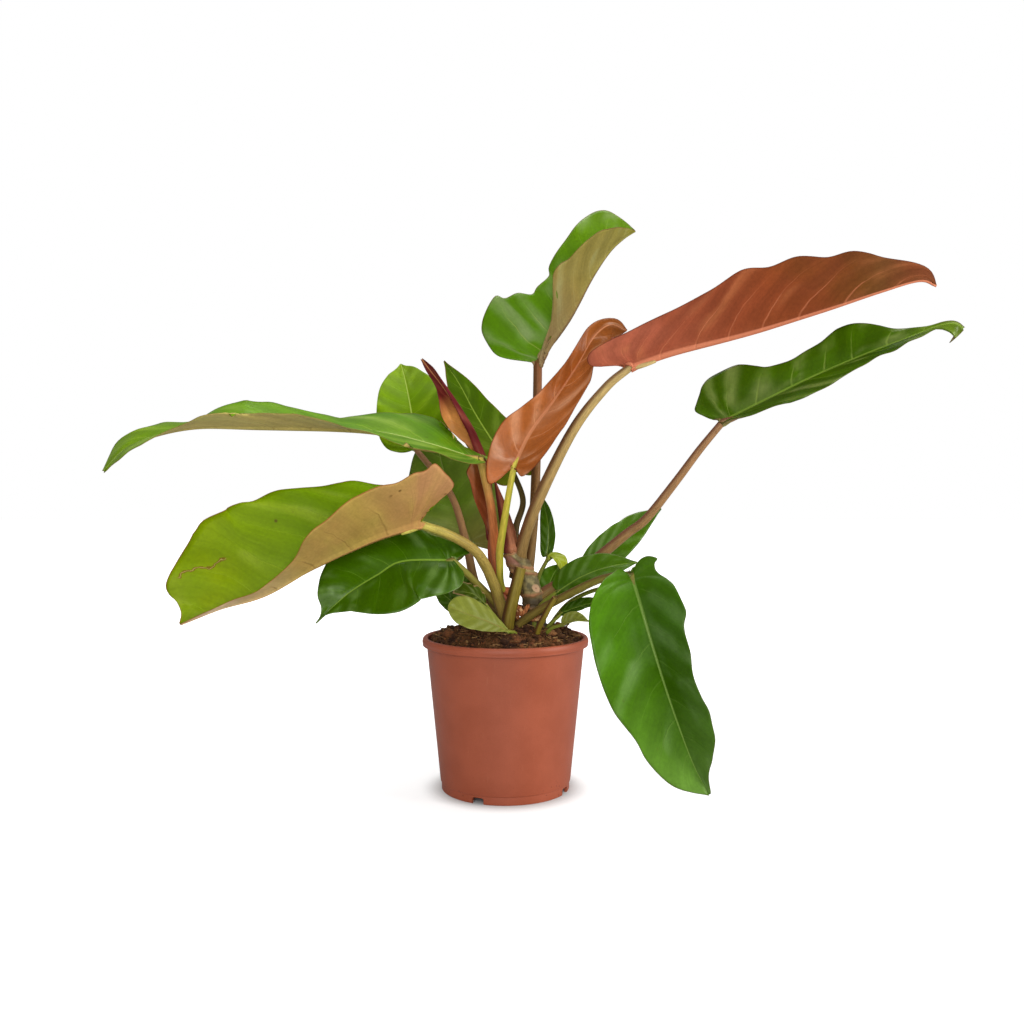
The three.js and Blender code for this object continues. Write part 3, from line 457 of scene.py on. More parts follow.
plainBlade = {  # holds where a finish says nothing else
    # sheen is the colour of a painted highlight, laid over the faces where the Sheen mask is high
    "gloss": 0.3, "tint": "#f4ffa0", "sheen": "#a0a878", "upperSheen": 0.25, "underSheen": 0.25, "wax": 0.35,
    "shadedBands": 0.1, "veinStrength": 0.5, "patchAmount": 0.55, "spots": 0.25, "marginWidth": 0.6,
    "shadedHalves": [1, 1],  # painted light and shade: how much lighter or darker the left and the right half are painted
}
bladeFinishes = {
    "topBlade": {
        "upper": ["#588804", "#548004", "#567e04", "#5c8006"], "upperPatch": "#4c7402",
        "upperVein": "#a4b050", "upperRib": "#a6b45c", "under": ["#98745a", "#88783a", "#807c2e"],
        "underPatch": "#968c50", "underVein": "#a89a60", "underRib": "#7d6040", "margin": "#6d482a",
        "veinWidth": 0.04, "ribWidth": 1.6, "veins": 9, "roughness": 0.42, "upperSheen": 0.5,
        "underSheen": 0.3, "sheen": "#8c966c", "shadedHalves": [1.06, 1],
    },
    "coralBlade": {
        "upper": ["#8a4a22", "#7a4a1e", "#5c4a16"], "upperPatch": "#a2602c", "upperVein": "#b8784a",
        "upperRib": "#c88458", "under": ["#bc6850", "#944a30", "#84401e", "#683e16", "#6c4428"],
        "underPatch": "#843c22", "underVein": "#c47450", "underRib": "#d88462", "margin": "#5c2a1c",
        "veinWidth": 0.05, "ribWidth": 2.9, "veins": 10, "roughness": 0.5, "underSheen": 0.4,
        "sheen": "#ac683e", "wax": 0.3, "tint": "#ffe8c0",
    },
    "copperBlade": {
        "upper": ["#b0602a", "#b06430", "#a45a26", "#824818"], "upperPatch": "#904a16",
        "upperVein": "#d49064", "upperRib": "#d08a60", "under": ["#a86038", "#94502c", "#843e26"],
        "underPatch": "#a4643c", "underVein": "#c88c60", "underRib": "#c88658", "margin": "#6a3020",
        "veinWidth": 0.06, "ribWidth": 2.1, "veins": 8, "roughness": 0.36, "upperSheen": 0.42,
        "sheen": "#d0a07c", "gloss": 0.2, "wax": 0.5, "tint": "#ffecd0", "shadedHalves": [1.06, 0.9],
    },
    "deepBlade": {
        "upper": ["#446602", "#4c7006", "#426404", "#5e7418"], "upperPatch": "#365402",
        "upperVein": "#90a648", "upperRib": "#7c9a34", "under": ["#7c6e40", "#7c7440", "#8a784c"],
        "underPatch": "#8c8850", "underVein": "#9a9664", "underRib": "#8e8a54", "margin": "#5c4a20",
        "veinWidth": 0.05, "ribWidth": 2.0, "veins": 10, "roughness": 0.4, "upperSheen": 0.55,
        "sheen": "#8c9a54", "gloss": 0.22, "wax": 0.6, "shadedBands": 0.16,
    },
    "farBlade": {
        "upper": ["#426c00", "#568200", "#628c00", "#668400"], "upperPatch": "#688c08",
        "upperVein": "#90ac34", "upperRib": "#b0be6c",
        "under": ["#b89458", "#bca860", "#beac66", "#baa45c"], "underPatch": "#c4b468",
        "underVein": "#8c7440", "underRib": "#b4a45c", "margin": "#7c6034", "veinWidth": 0.045,
        "ribWidth": 1.4, "veins": 11, "roughness": 0.42, "upperSheen": 0.4, "sheen": "#94ac3c", "wax": 0.3,
    },
    "limeBlade": {
        "upper": ["#668800", "#6c8c00", "#748e00", "#808e00"], "upperPatch": "#5c7c00",
        "upperVein": "#8ca420", "upperRib": "#a4b44c",
        "under": ["#bc8a5c", "#a68c46", "#a89250", "#c4a878", "#f0dcc4"], "underPatch": "#ac8248",
        "underVein": "#8c6c38", "underRib": "#cc965c", "margin": "#8c4c28", "veinWidth": 0.04,
        "ribWidth": 1.8, "veins": 9, "roughness": 0.42, "spots": 1.0, "marginWidth": 0.8,
        "underSheen": 0.15, "sheen": "#a0a830", "wax": 0.1, "shadedBands": 0.07,
        "scar": {
            "start": 0.78, "end": 0.94, "waves": 58, "reach": 34, "swing": 1.4, "wobbleScale": 130,
            "wobble": 9,
        },
    },
    "glossyBlade": {
        "upper": ["#365a00", "#3a5e00", "#385c00"], "upperPatch": "#305200", "upperVein": "#5e8420",
        "upperRib": "#7c9c34", "under": ["#5c7038", "#64783c", "#64783c"], "underPatch": "#708444",
        "underVein": "#869654", "underRib": "#94a05c", "margin": "#567028", "veinWidth": 0.035,
        "ribWidth": 1.4, "veins": 10, "roughness": 0.32, "upperSheen": 0.4, "sheen": "#7c9c54",
        "gloss": 0.2, "wax": 0.6, "shadedBands": 0.07,
    },
    "brightBlade": {
        "upper": ["#547400", "#668c00", "#7a9800"], "upperPatch": "#5c7c00", "upperVein": "#86a426",
        "upperRib": "#a8bc54", "under": ["#7c8a40", "#84924a", "#8c9a4a"], "underPatch": "#8c9a50",
        "underVein": "#a0a85c", "underRib": "#a8ae64", "margin": "#849a3c", "veinWidth": 0.035,
        "ribWidth": 1.1, "veins": 8, "roughness": 0.45, "sheen": "#90ac14", "wax": 0.05, "tint": "#f4ff60",
        "shadedHalves": [1.04, 0.86],
    },
    "centreBlade": {
        "upper": ["#545c04", "#446400", "#466800"], "upperPatch": "#3e5600", "upperVein": "#6a8a22",
        "upperRib": "#90a83c", "under": ["#6c7a3c", "#6c7a3c", "#748240"], "underPatch": "#7c8a48",
        "underVein": "#8c9658", "underRib": "#98a05c", "margin": "#7c5024", "veinWidth": 0.04,
        "ribWidth": 1.2, "veins": 8, "roughness": 0.4, "sheen": "#7c9430", "wax": 0.2,
    },
    "shadeBlade": {
        "upper": ["#70682c", "#5c7c14", "#567c10", "#50760c"], "upperPatch": "#70703a",
        "upperVein": "#6c8030", "upperRib": "#84944a", "under": ["#5c6e3c", "#627440", "#627440"],
        "underPatch": "#6c7e48", "underVein": "#7c8c54", "underRib": "#86945c", "margin": "#4c6022",
        "veinWidth": 0.04, "ribWidth": 1.3, "veins": 8, "roughness": 0.4, "upperSheen": 0.3,
        "sheen": "#868e4c", "patchAmount": 0.4,
    },
    "maroonBlade": {
        "upper": [
            "#7c3c20", "#84401f", "#8c4420", "#a45c2c", "#c07c3c", "#cc8c48", "#cc8c48", "#6c2420",
            "#5c181c", "#5c181c",
        ],
        "upperPatch": "#7c3c20", "upperVein": "#a86034", "upperRib": "#b87848",
        "under": ["#702c1c", "#6c2420", "#641820", "#5c1c22"], "underPatch": "#782c28",
        "underVein": "#843c34", "underRib": "#8c4034", "margin": "#54181a", "veinWidth": 0.05,
        "ribWidth": 1.6, "veins": 7, "roughness": 0.36, "upperSheen": 0.2, "sheen": "#a06040", "wax": 0.5,
        "patchAmount": 0.3, "tint": "#ffd8c0",
    },
    "hangingBlade": {
        "upper": ["#508014", "#447408", "#447008", "#5c8828", "#6c943c"], "upperPatch": "#345a00",
        "upperVein": "#6c9034", "upperRib": "#80a048", "under": ["#5c7038", "#64783c", "#64783c"],
        "underPatch": "#708444", "underVein": "#869654", "underRib": "#94a05c", "margin": "#4c5c18",
        "veinWidth": 0.04, "ribWidth": 1.9, "veins": 8, "roughness": 0.38, "upperSheen": 0.35,
        "sheen": "#789a54", "gloss": 0.24, "wax": 0.5, "veinStrength": 0.3, "patchAmount": 0.6,
        "shadedBands": 0.06, "shadedHalves": [0.66, 1.0],
    },
    "basalBlade": {
        "upper": ["#3c5e04", "#446a06", "#4a7008"], "upperPatch": "#2e5002", "upperVein": "#5c7e24",
        "upperRib": "#7c983c", "under": ["#64743c", "#6c7c40", "#6c7c40"], "underPatch": "#748448",
        "underVein": "#849254", "underRib": "#929a5c", "margin": "#526624", "veinWidth": 0.035,
        "ribWidth": 0.8, "veins": 7, "roughness": 0.36, "upperSheen": 0.3, "sheen": "#7c9854", "gloss": 0.2,
        "wax": 0.5, "veinStrength": 0.3, "shadedBands": 0.06,
    },
    "yellowBlade": {
        "upper": ["#98a41c", "#a4b028", "#a8b42c"], "upperPatch": "#849420", "upperVein": "#acb848",
        "upperRib": "#b0bc50", "under": ["#8c943c", "#949c40", "#949c40"], "underPatch": "#848c38",
        "underVein": "#a0a454", "underRib": "#a8ac5c", "margin": "#7c7c30", "veinWidth": 0.035,
        "ribWidth": 0.7, "veins": 6, "roughness": 0.4,
    },
    "paleBlade": {
        "upper": ["#7c8234", "#767e2e", "#707c2a"], "upperPatch": "#868a38", "upperVein": "#868c44",
        "upperRib": "#8c7c3c", "under": ["#868a44", "#828640", "#828640"], "underPatch": "#8e924e",
        "underVein": "#989c5c", "underRib": "#9c985c", "margin": "#8c9044", "veinWidth": 0.035,
        "ribWidth": 0.7, "veins": 7, "roughness": 0.5,
    },
    "raggedBlade": {
        "upper": ["#3c5004", "#405608", "#486010"], "upperPatch": "#344602", "upperVein": "#6c8034",
        "upperRib": "#7c8c3c", "under": ["#6c7838", "#74803c", "#74803c"], "underPatch": "#7c8844",
        "underVein": "#8c9650", "underRib": "#969c58", "margin": "#b08c64", "veinWidth": 0.035,
        "ribWidth": 0.7, "veins": 7, "roughness": 0.45, "spots": 0.8, "marginWidth": 1.2,
    },
}

bladeLook = {
    "specular": 0.1,
    "streakTones": [0.92, 1.07],
    "grainTones": [0.93, 1.07],
    "ribAmount": 0.8,
    "spot": "#4a2c12",
    "spotAmount": 0.8,
    "marginAmount": 0.75,
    "underRougher": 0.16,
    "underWax": 0.2,
    "bump": [0.6, 0.0005],  # strength, depth
    "scarRim": "#6a3c14",
    "scarMiddle": "#b4a85c",
}


def bladeMaterial(name, finish):
    material, tree, shader = startMaterial(name, finish["roughness"], bladeLook["specular"], finish["gloss"])
    shader.inputs["Specular Tint"].default_value = fromHex(finish["tint"])
    pattern = placeGroup(tree, bladePattern, {
        "Vein Width": finish["veinWidth"], "Rib Width": finish["ribWidth"],
        "Margin Width": finish["marginWidth"], "Spots": finish["spots"],
    })
    faces = {}
    for face in ("upper", "under"):
        color = colorRamp(tree, pattern["Along"], finish[face])
        color = layOver(tree, color, finish[face + "Patch"], pattern["Blotch"], finish["patchAmount"])
        # painted highlight: a paler sheen colour where the leaf would catch the light; the same mask sets the
        # real wax gloss below
        color = layOver(tree, color, finish["sheen"], pattern["Sheen"], finish[face + "Sheen"])
        color = shadeBy(tree, color, pattern["Streaks"], bladeLook["streakTones"])
        # painted light and shade: the strips between side veins are painted lighter on one side and darker on
        # the other
        color = shadeBy(tree, color, pattern["ShadedBands"], [1 - finish["shadedBands"], 1 + finish["shadedBands"]], 0, 1)
        color = shadeBy(tree, color, pattern["Grain"], bladeLook["grainTones"])
        color = layOver(tree, color, finish[face + "Vein"], pattern["Veins"], finish["veinStrength"])
        faces[face] = layOver(tree, color, finish[face + "Rib"], pattern["Rib"], bladeLook["ribAmount"])
    color = blendColors(tree, pattern["Upper"], faces["under"], faces["upper"])
    # painted light and shade: one half of the blade is painted lighter or darker, as light falls on it
    color = blendColors(tree, 1.0, color, blendValues(tree, pattern["Side"], *finish["shadedHalves"]), "MULTIPLY")
    color = layOver(tree, color, bladeLook["spot"], pattern["Spots"], bladeLook["spotAmount"])
    color = layOver(tree, color, finish["margin"], pattern["Margin"], bladeLook["marginAmount"])
    if "scar" in finish:
        color = addScar(tree, color, finish["scar"])
    rough = finish["roughness"]
    rough = blendValues(tree, pattern["Upper"], rough + bladeLook["underRougher"], rough)
    rough = plus(tree, rough, between(tree, pattern["Streaks"], 0.3, 0.7, 0.07, -0.06, False))
    wax = between(tree, pattern["Sheen"], 0.0, 1.0, 0.25, 1.0, False)
    wax = times(tree, wax, blendValues(tree, pattern["Upper"], bladeLook["underWax"], 1.0))
    tree.links.new(times(tree, wax, finish["wax"]), shader.inputs["Coat Weight"])
    height = plus(tree, times(tree, pattern["Veins"], -0.8), times(tree, pattern["Streaks"], 0.7))
    height = plus(tree, height, times(tree, pattern["Grain"], 0.08))
    setSurface(tree, shader, color, height, *bladeLook["bump"], rough)
    return material


def addScar(tree, color, scar):  # a healed, wandering line with a pale middle and brown rims
    shares = splitVector(tree, storedVector(tree, "leafMap"))
    reach = splitVector(tree, storedVector(tree, "leafReach"))
    wave = calc(tree, "SINE", times(tree, shares["X"], scar["waves"]))
    middle = plus(tree, scar["reach"], times(tree, wave, scar["swing"]))
    wobble = calc(tree, "SUBTRACT", noiseAt(tree, objectPlace(tree), scar["wobbleScale"], 3), 0.5)
    away = plus(tree, calc(tree, "SUBTRACT", reach["X"], middle), times(tree, wobble, scar["wobble"]))
    away = calc(tree, "ABSOLUTE", away)
    within = times(
        tree,
        between(tree, shares["X"], scar["start"] - 0.01, scar["start"] + 0.01),
        between(tree, shares["X"], scar["end"] - 0.01, scar["end"] + 0.01, 1, 0),
    )
    within = times(tree, within, calc(tree, "GREATER_THAN", shares["Y"], 0.0))
    color = layOver(tree, color, bladeLook["scarRim"], between(tree, away, 0.6, 1.1, 0.8, 0), within)
    return layOver(tree, color, bladeLook["scarMiddle"], between(tree, away, 0.1, 0.35, 0.7, 0), within)


bladeRelief = {
    "thickness": 0.66,
    "edgeThinning": 0.5,
    "creaseDepth": 0.45,
    "swell": [[1.5, 36], [0.5, 15]],  # height and pitch of the broad bulges
    "pleat": 1.3,
    "ripple": 1.5,
    "ripples": 6,
    "rippleShare": 30,  # pitch of the noise that lets the ripples come and go
    "ribHeight": 1.3,  # times the stalk's radius
    "grooveDepth": 0.35,
    "fullWidth": 40,  # half width from which the relief has its full height
    "veinJitter": 0.12,
    "fan": 0.15,
    "sweep": 0.065,
    "bend": 1.4,
    "crowding": 1.25,  # above 1, columns crowd towards the midrib
    "sizes": {
        "large": {"rows": 120, "columns": 20, "sides": 20, "steps": 80},
        "rolled": {"rows": 110, "columns": 22, "sides": 20, "steps": 30},
        "small": {"rows": 56, "columns": 12, "sides": 14, "steps": 36},
    },
}


def bladeSheet(leaf, rows, columns):  # the blade's middle surface and its maps, rows from base to tip
    midrib = makeRoute(leaf["midrib"])
    length, halfWidth = midrib["length"], leaf["halfWidth"]
    rowShare = np.linspace(0, 1, rows)
    edges = {}
    for side in ("left", "right"):
        outline = leaf["outline"][side] if isinstance(leaf["outline"], dict) else leaf["outline"]
        points = alongRoute(makeRoute([[a * length, b * halfWidth, 0] for a, b in outline]), rowShare)
        edges[side] = points[:, 0] / length, points[:, 1] / halfWidth
    meanAlong = (edges["left"][0] + edges["right"][0]) / 2
    meanOut = edges["left"][1] + edges["right"][1]
    start = np.maximum(bladeRelief["fan"] * rowShare, meanAlong - bladeRelief["sweep"] * meanOut)
    start = np.minimum(start, 1)[:, None]
    share = np.linspace(0, 1, columns + 1)[1:] ** bladeRelief["crowding"]
    shadedHalves = {}
    for side, (edgeAlong, edgeOut) in edges.items():
        along = start + (edgeAlong[:, None] - start) * share ** bladeRelief["bend"]
        out = edgeOut[:, None] * share
        shadedHalves[side] = bladePoints(leaf, midrib, side, along, out), along, out
    none = np.zeros((rows, 1))
    middle = bladePoints(leaf, midrib, "right", start, none), start, none
    grid, along, out = (
        np.concatenate([left[:, ::-1], centre, right], 1)
        for left, centre, right in zip(shadedHalves["left"], middle, shadedHalves["right"])
    )
    signed = np.concatenate([-share[::-1], [0], share])
    return grid, along, out * halfWidth, np.broadcast_to(signed, along.shape), midrib


def bladePoints(leaf, midrib, side, along, out):
    here = np.clip(along, 0, 1)
    heading = headingOn(midrib, here)
    point = alongRoute(midrib, here) + np.minimum(along, 0)[..., None] * midrib["length"] * heading
    up = squared(valueAlong(leaf["up"], here), heading)
    outwards = np.cross(heading, up) * (-1 if side == "left" else 1)
    fold = np.radians(valueAlong(leaf[side]["fold"], here))
    curl = np.radians(valueAlong(leaf[side].get("curl", [0]), here))
    curl = np.where(np.abs(curl) < 1e-4, 1e-4, curl)
    radius = leaf["halfWidth"] / curl
    sideways = radius * (np.sin(fold + curl * out) - np.sin(fold))
    lift = radius * (np.cos(fold) - np.cos(fold + curl * out))
    return point + outwards * sideways[..., None] + up * lift[..., None]


def buildBlade(leaf, seed):
    relief = bladeRelief
    detail = relief["sizes"][leaf["size"]]
    rows = detail["rows"]
    grid, along, reach, signed, midrib = bladeSheet(leaf, rows, detail["columns"])
    random = np.random.default_rng(seed)
    out = np.abs(signed)
    small = min(1, leaf["halfWidth"] / relief["fullWidth"])
    rowShare = np.linspace(0, 1, rows)[:, None]

    # side veins alternate from one half to the other
    veins = bladeFinishes[leaf["finish"]]["veins"]
    spots = np.arange(veins + 1) + random.uniform(-relief["veinJitter"], relief["veinJitter"], veins + 1)
    numbers = np.interp(rowShare, (spots - spots[0]) / (spots[-1] - spots[0]), np.arange(veins + 1))
    veinNumber = numbers + np.where(signed < 0, 0.5, 0.0) - leaf.get("lean", 0.5) * out**1.3
    offVein = np.abs((veinNumber + 0.5) % 1 - 0.5) * 2
    calm = smoothStep(0, 0.3, out) * (1 - smoothStep(0.75, 1, out))
    lift = relief["creaseDepth"] * small * (offVein**0.5 - 0.7) * calm
    for height, pitch in relief["swell"]:
        lift = lift + height * small * softNoise(grid, pitch, seed) * smoothStep(0, 0.4, out)
    row = np.stack(np.broadcast_arrays(veinNumber, np.sign(signed), seed), -1)
    lift = lift + relief["pleat"] * small * out**1.3 * softNoise(row, 0.8, seed + 9)
    wave = np.sin(2 * np.pi * relief["ripples"] * rowShare + seed + np.sign(signed))
    lift = lift + relief["ripple"] * small * out**3 * wave * softNoise(grid, relief["rippleShare"], seed + 5)
    grid = grid + sheetNormals(grid) * lift[..., None]
    normals = sheetNormals(grid)

    # the midrib stands out below and leaves a groove above
    stalkEnd = leaf["stalkRadius"][-1]
    fade = 1 - rowShare * 0.9
    ridge = 0.5 + 0.5 * np.cos(np.pi * np.clip(reach / (1.5 * stalkEnd * fade + 0.3), 0, 1))
    rib = relief["ribHeight"] * stalkEnd * fade * ridge
    groove = relief["grooveDepth"] * np.minimum(stalkEnd, 2) * fade * bell(reach / (0.5 * stalkEnd))
    half = relief["thickness"] / 2 * (1 - relief["edgeThinning"] * out**4)
    upper = grid + normals * (half - groove * (leaf["size"] != "rolled"))[..., None]
    under = grid - normals * (half + rib)[..., None]

    steps = np.linalg.norm(np.diff(grid, axis=1), axis=2)
    fromLeft = np.concatenate([np.zeros((rows, 1)), np.cumsum(steps, 1)], 1)
    edgeReach = np.minimum(fromLeft, fromLeft[:, -1:] - fromLeft)
    leafMap = np.stack([along, signed, veinNumber], -1)
    leafReach = [np.stack([reach, edgeReach, np.full_like(reach, face)], -1) for face in (1, 0)]
    makeMesh(
        leaf["name"] + "_fine_blade",
        np.concatenate([upper, under]).reshape(-1, 3),
        slabFaces(rows, grid.shape[1]),
        bladeMaterials[leaf["finish"]],
        nodeSlots[leaf["name"] + "_blade"],
        [leaf["name"] + "_blade"],
        {"leafMap": np.concatenate([leafMap, leafMap]), "leafReach": np.concatenate(leafReach)},
    )
    return midrib


# each finish lays a darker tone on the side that toward points at; brownStalk, oliveStalk and redStalk point
# it left, away from the light, so on them it is painted shade
stalkFinishes = {
    "brownStalk": {
        "colors": ["#6c5430", "#80602f", "#8a5c38", "#905a34"], "darkSide": "#54361c", "fleck": "#a08458",
        "toward": [-1, -0.3, 0],
    },
    "oliveStalk": {
        "colors": ["#806438", "#a48650", "#b89c60", "#c8ac70"], "darkSide": "#54241c", "fleck": "#bca46c",
        "toward": [-1, -0.1, 0.3],
    },
    "yellowStalk": {
        "colors": ["#a89c38", "#b8a83e", "#c4b440", "#ccc054"], "darkSide": "#8c9028", "fleck": "#d4c870",
        "toward": [1, 0, 0],
    },
    "tanStalk": {
        "colors": ["#7a6434", "#8c6c40", "#9c744c", "#9c7450"], "darkSide": "#6c4030", "fleck": "#b4946c",
        "toward": [-0.5, 0, 0.8],
    },
    "warmStalk": {
        "colors": ["#8c4a30", "#a0563a", "#b06438", "#b46c3c", "#b89848", "#a8b848"], "darkSide": "#7c3828",
        "fleck": "#b89c60", "toward": [-0.5, 0, 0.8],
    },
    "speckledStalk": {
        "colors": ["#907438", "#94803c", "#a89048", "#c4bc58"], "darkSide": "#805434", "fleck": "#5c3820",
        "toward": [-0.8, 0, 0.5], "flecks": 0.8,
    },
    "greenStalk": {
        "colors": ["#6c5c28", "#78682e", "#847c34", "#8c8c3c"], "darkSide": "#5c4428", "fleck": "#949054",
        "toward": [-0.3, 0, 0.8],
    },
    "darkStalk": {
        "colors": ["#4c3c1c", "#54441e", "#54501e"], "darkSide": "#382612", "fleck": "#6c6034",
        "toward": [0, 0, 1],
    },
    "redStalk": {
        "colors": ["#a85c38", "#b46438", "#b46838"], "darkSide": "#8c3c28", "fleck": "#a8643c",
        "toward": [-1, 0, 0],
    },
    "youngStalk": {
        "colors": ["#6c6c28", "#78802e", "#849034"], "darkSide": "#6c6028", "fleck": "#94984c",
        "toward": [0, 0, 1],
    },
}

stalkSettings = {
    "roughness": [0.36, 0.52],
    "specular": 0.15,
    "streakTones": [0.82, 1.12],
    "fleckAmount": 0.55,
    "bump": [0.5, 0.0003],  # strength, depth
    "channelSide": [-0.2, -0.2, 1],
    # the stalk runs on below the blade: share of the midrib, share of the drop, share of the radius
    "run": [[0.012, 0.15, 0.95], [0.03, 0.5, 0.82], [0.055, 0.8, 0.64], [0.085, 1.0, 0.4]],
    "runDrop": 0.9,
    "flatTop": 0.1,
    "footSwell": 0.22,
    "footShare": 0.07,
}


def stalkMaterial(name, finish):
    material, tree, shader = startMaterial(name, 0.42, stalkSettings["specular"])
    pattern = placeGroup(tree, stalkPattern, {"Fleck Amount": finish.get("flecks", 0.35)})
    color = colorRamp(tree, pattern["Along"], finish["colors"])
    color = shadeBy(tree, color, pattern["Streaks"], stalkSettings["streakTones"], 0, 1)
    # a darker tone on the side that toward points at: painted shade where that side faces away from the light
    side = between(tree, pattern["Side"], 0.05, 0.75)
    color = layOver(tree, color, finish["darkSide"], side, finish.get("darkSideAmount", 0.75))
    color = layOver(tree, color, finish["fleck"], pattern["Flecks"], stalkSettings["fleckAmount"])
    height = plus(tree, times(tree, pattern["Streaks"], 0.5), times(tree, pattern["Grain"], 0.2))
    rough = between(tree, pattern["Grain"], 0.2, 0.8, *stalkSettings["roughness"], False)
    setSurface(tree, shader, color, height, *stalkSettings["bump"], rough)
    return material


def tubeFrames(points, firstUp):  # steady cross directions along a route
    heading = unit(np.gradient(points, axis=0))
    ups = []
    up = np.asarray(firstUp, float)
    for direction in heading:
        up = up - (up @ direction) * direction
        up = up / np.linalg.norm(up)
        ups.append(up)
    return np.array(ups), np.cross(heading, ups)


def spokes(angle, ups, across):  # directions round a route, a ring for each row
    return np.cos(angle)[None, :, None] * ups[:, None] + np.sin(angle)[None, :, None] * across[:, None]


def tubeMesh(points, radii, sides, firstUp, toward=(0, 0, 1), shape=None):  # a closed tube and its stalk maps
    rows = len(points)
    angle = anglesRound(sides)
    radii = np.asarray(radii, float)[:, None] * np.ones(sides)
    if shape is not None:
        radii = radii * shape(np.linspace(0, 1, rows)[:, None], angle[None, :])
    radial = spokes(angle, *tubeFrames(points, firstUp))
    skin = points[:, None] + radial * radii[..., None]
    reach = np.concatenate([[0], np.cumsum(np.linalg.norm(np.diff(points, axis=0), axis=1))])[:, None]
    share = reach / reach[-1]
    maps = np.stack(np.broadcast_arrays(share, radial @ unit(np.asarray(toward, float)), reach), -1)
    turn = np.stack(np.broadcast_arrays(radii * np.cos(angle), radii * np.sin(angle), reach), -1)
    end = reach[-1, 0]
    skin = np.vstack([skin.reshape(-1, 3), points[0], points[-1]])
    maps = np.vstack([maps.reshape(-1, 3), [0, 0, 0], [1, 0, end]])
    turn = np.vstack([turn.reshape(-1, 3), [0, 0, 0], [0, 0, end]])
    count = rows * sides
    faces = gridFaces(rows, sides, closed=True)
    faces += fanFaces(sides, 0, count, flip=True) + fanFaces(sides, count - sides, count + 1)
    return skin, faces, {"stalkMap": maps, "stalkTurn": turn}


def buildStalk(leaf, midrib):
    detail = bladeRelief["sizes"][leaf["size"]]
    share = np.linspace(0, 1, detail["steps"])
    points = alongRoute(makeRoute(leaf["stalk"]), share)
    radii = valueAlong(leaf["stalkRadius"], share)
    run, drop, thin = np.array(stalkSettings["run"]).T
    up = squared(valueAlong(leaf["up"], run), headingOn(midrib, run))
    below = alongRoute(midrib, run) - up * (drop * radii[-1] * stalkSettings["runDrop"])[:, None]

    def shape(share, angle):  # flatter on top, with a wider foot
        flat = 1 - stalkSettings["flatTop"] * np.clip(np.cos(angle), 0, 1) ** 2
        foot = stalkSettings["footSwell"] * bell(share / stalkSettings["footShare"])
        return flat * (1 + foot * (1 - 0.5 * np.cos(angle)))

    skin, faces, maps = tubeMesh(
        np.vstack([points, below]), np.concatenate([radii, radii[-1] * thin]), detail["sides"],
        stalkSettings["channelSide"], stalkFinishes[leaf["stalkFinish"]]["toward"], shape,
    )
    makeMesh(
        leaf["name"] + "_fine_stalk", skin, faces, stalkMaterials[leaf["stalkFinish"]],
        nodeSlots[leaf["name"] + "_petiole"], [leaf["name"] + "_petiole"], maps,
    )


outlines = {
    "heart": [
        [-0.01, 0.06], [-0.05, 0.17], [-0.1, 0.42], [-0.07, 0.74], [0.03, 0.94], [0.14, 1], [0.3, 0.99],
        [0.45, 0.93], [0.6, 0.8], [0.75, 0.58], [0.87, 0.33], [0.95, 0.12], [1, 0.02],
    ],
    "slim": [
        [0, 0.08], [-0.01, 0.2], [-0.02, 0.42], [0.02, 0.66], [0.1, 0.85], [0.22, 0.97], [0.38, 1],
        [0.55, 0.9], [0.7, 0.7], [0.83, 0.43], [0.93, 0.18], [1, 0.03],
    ],
}

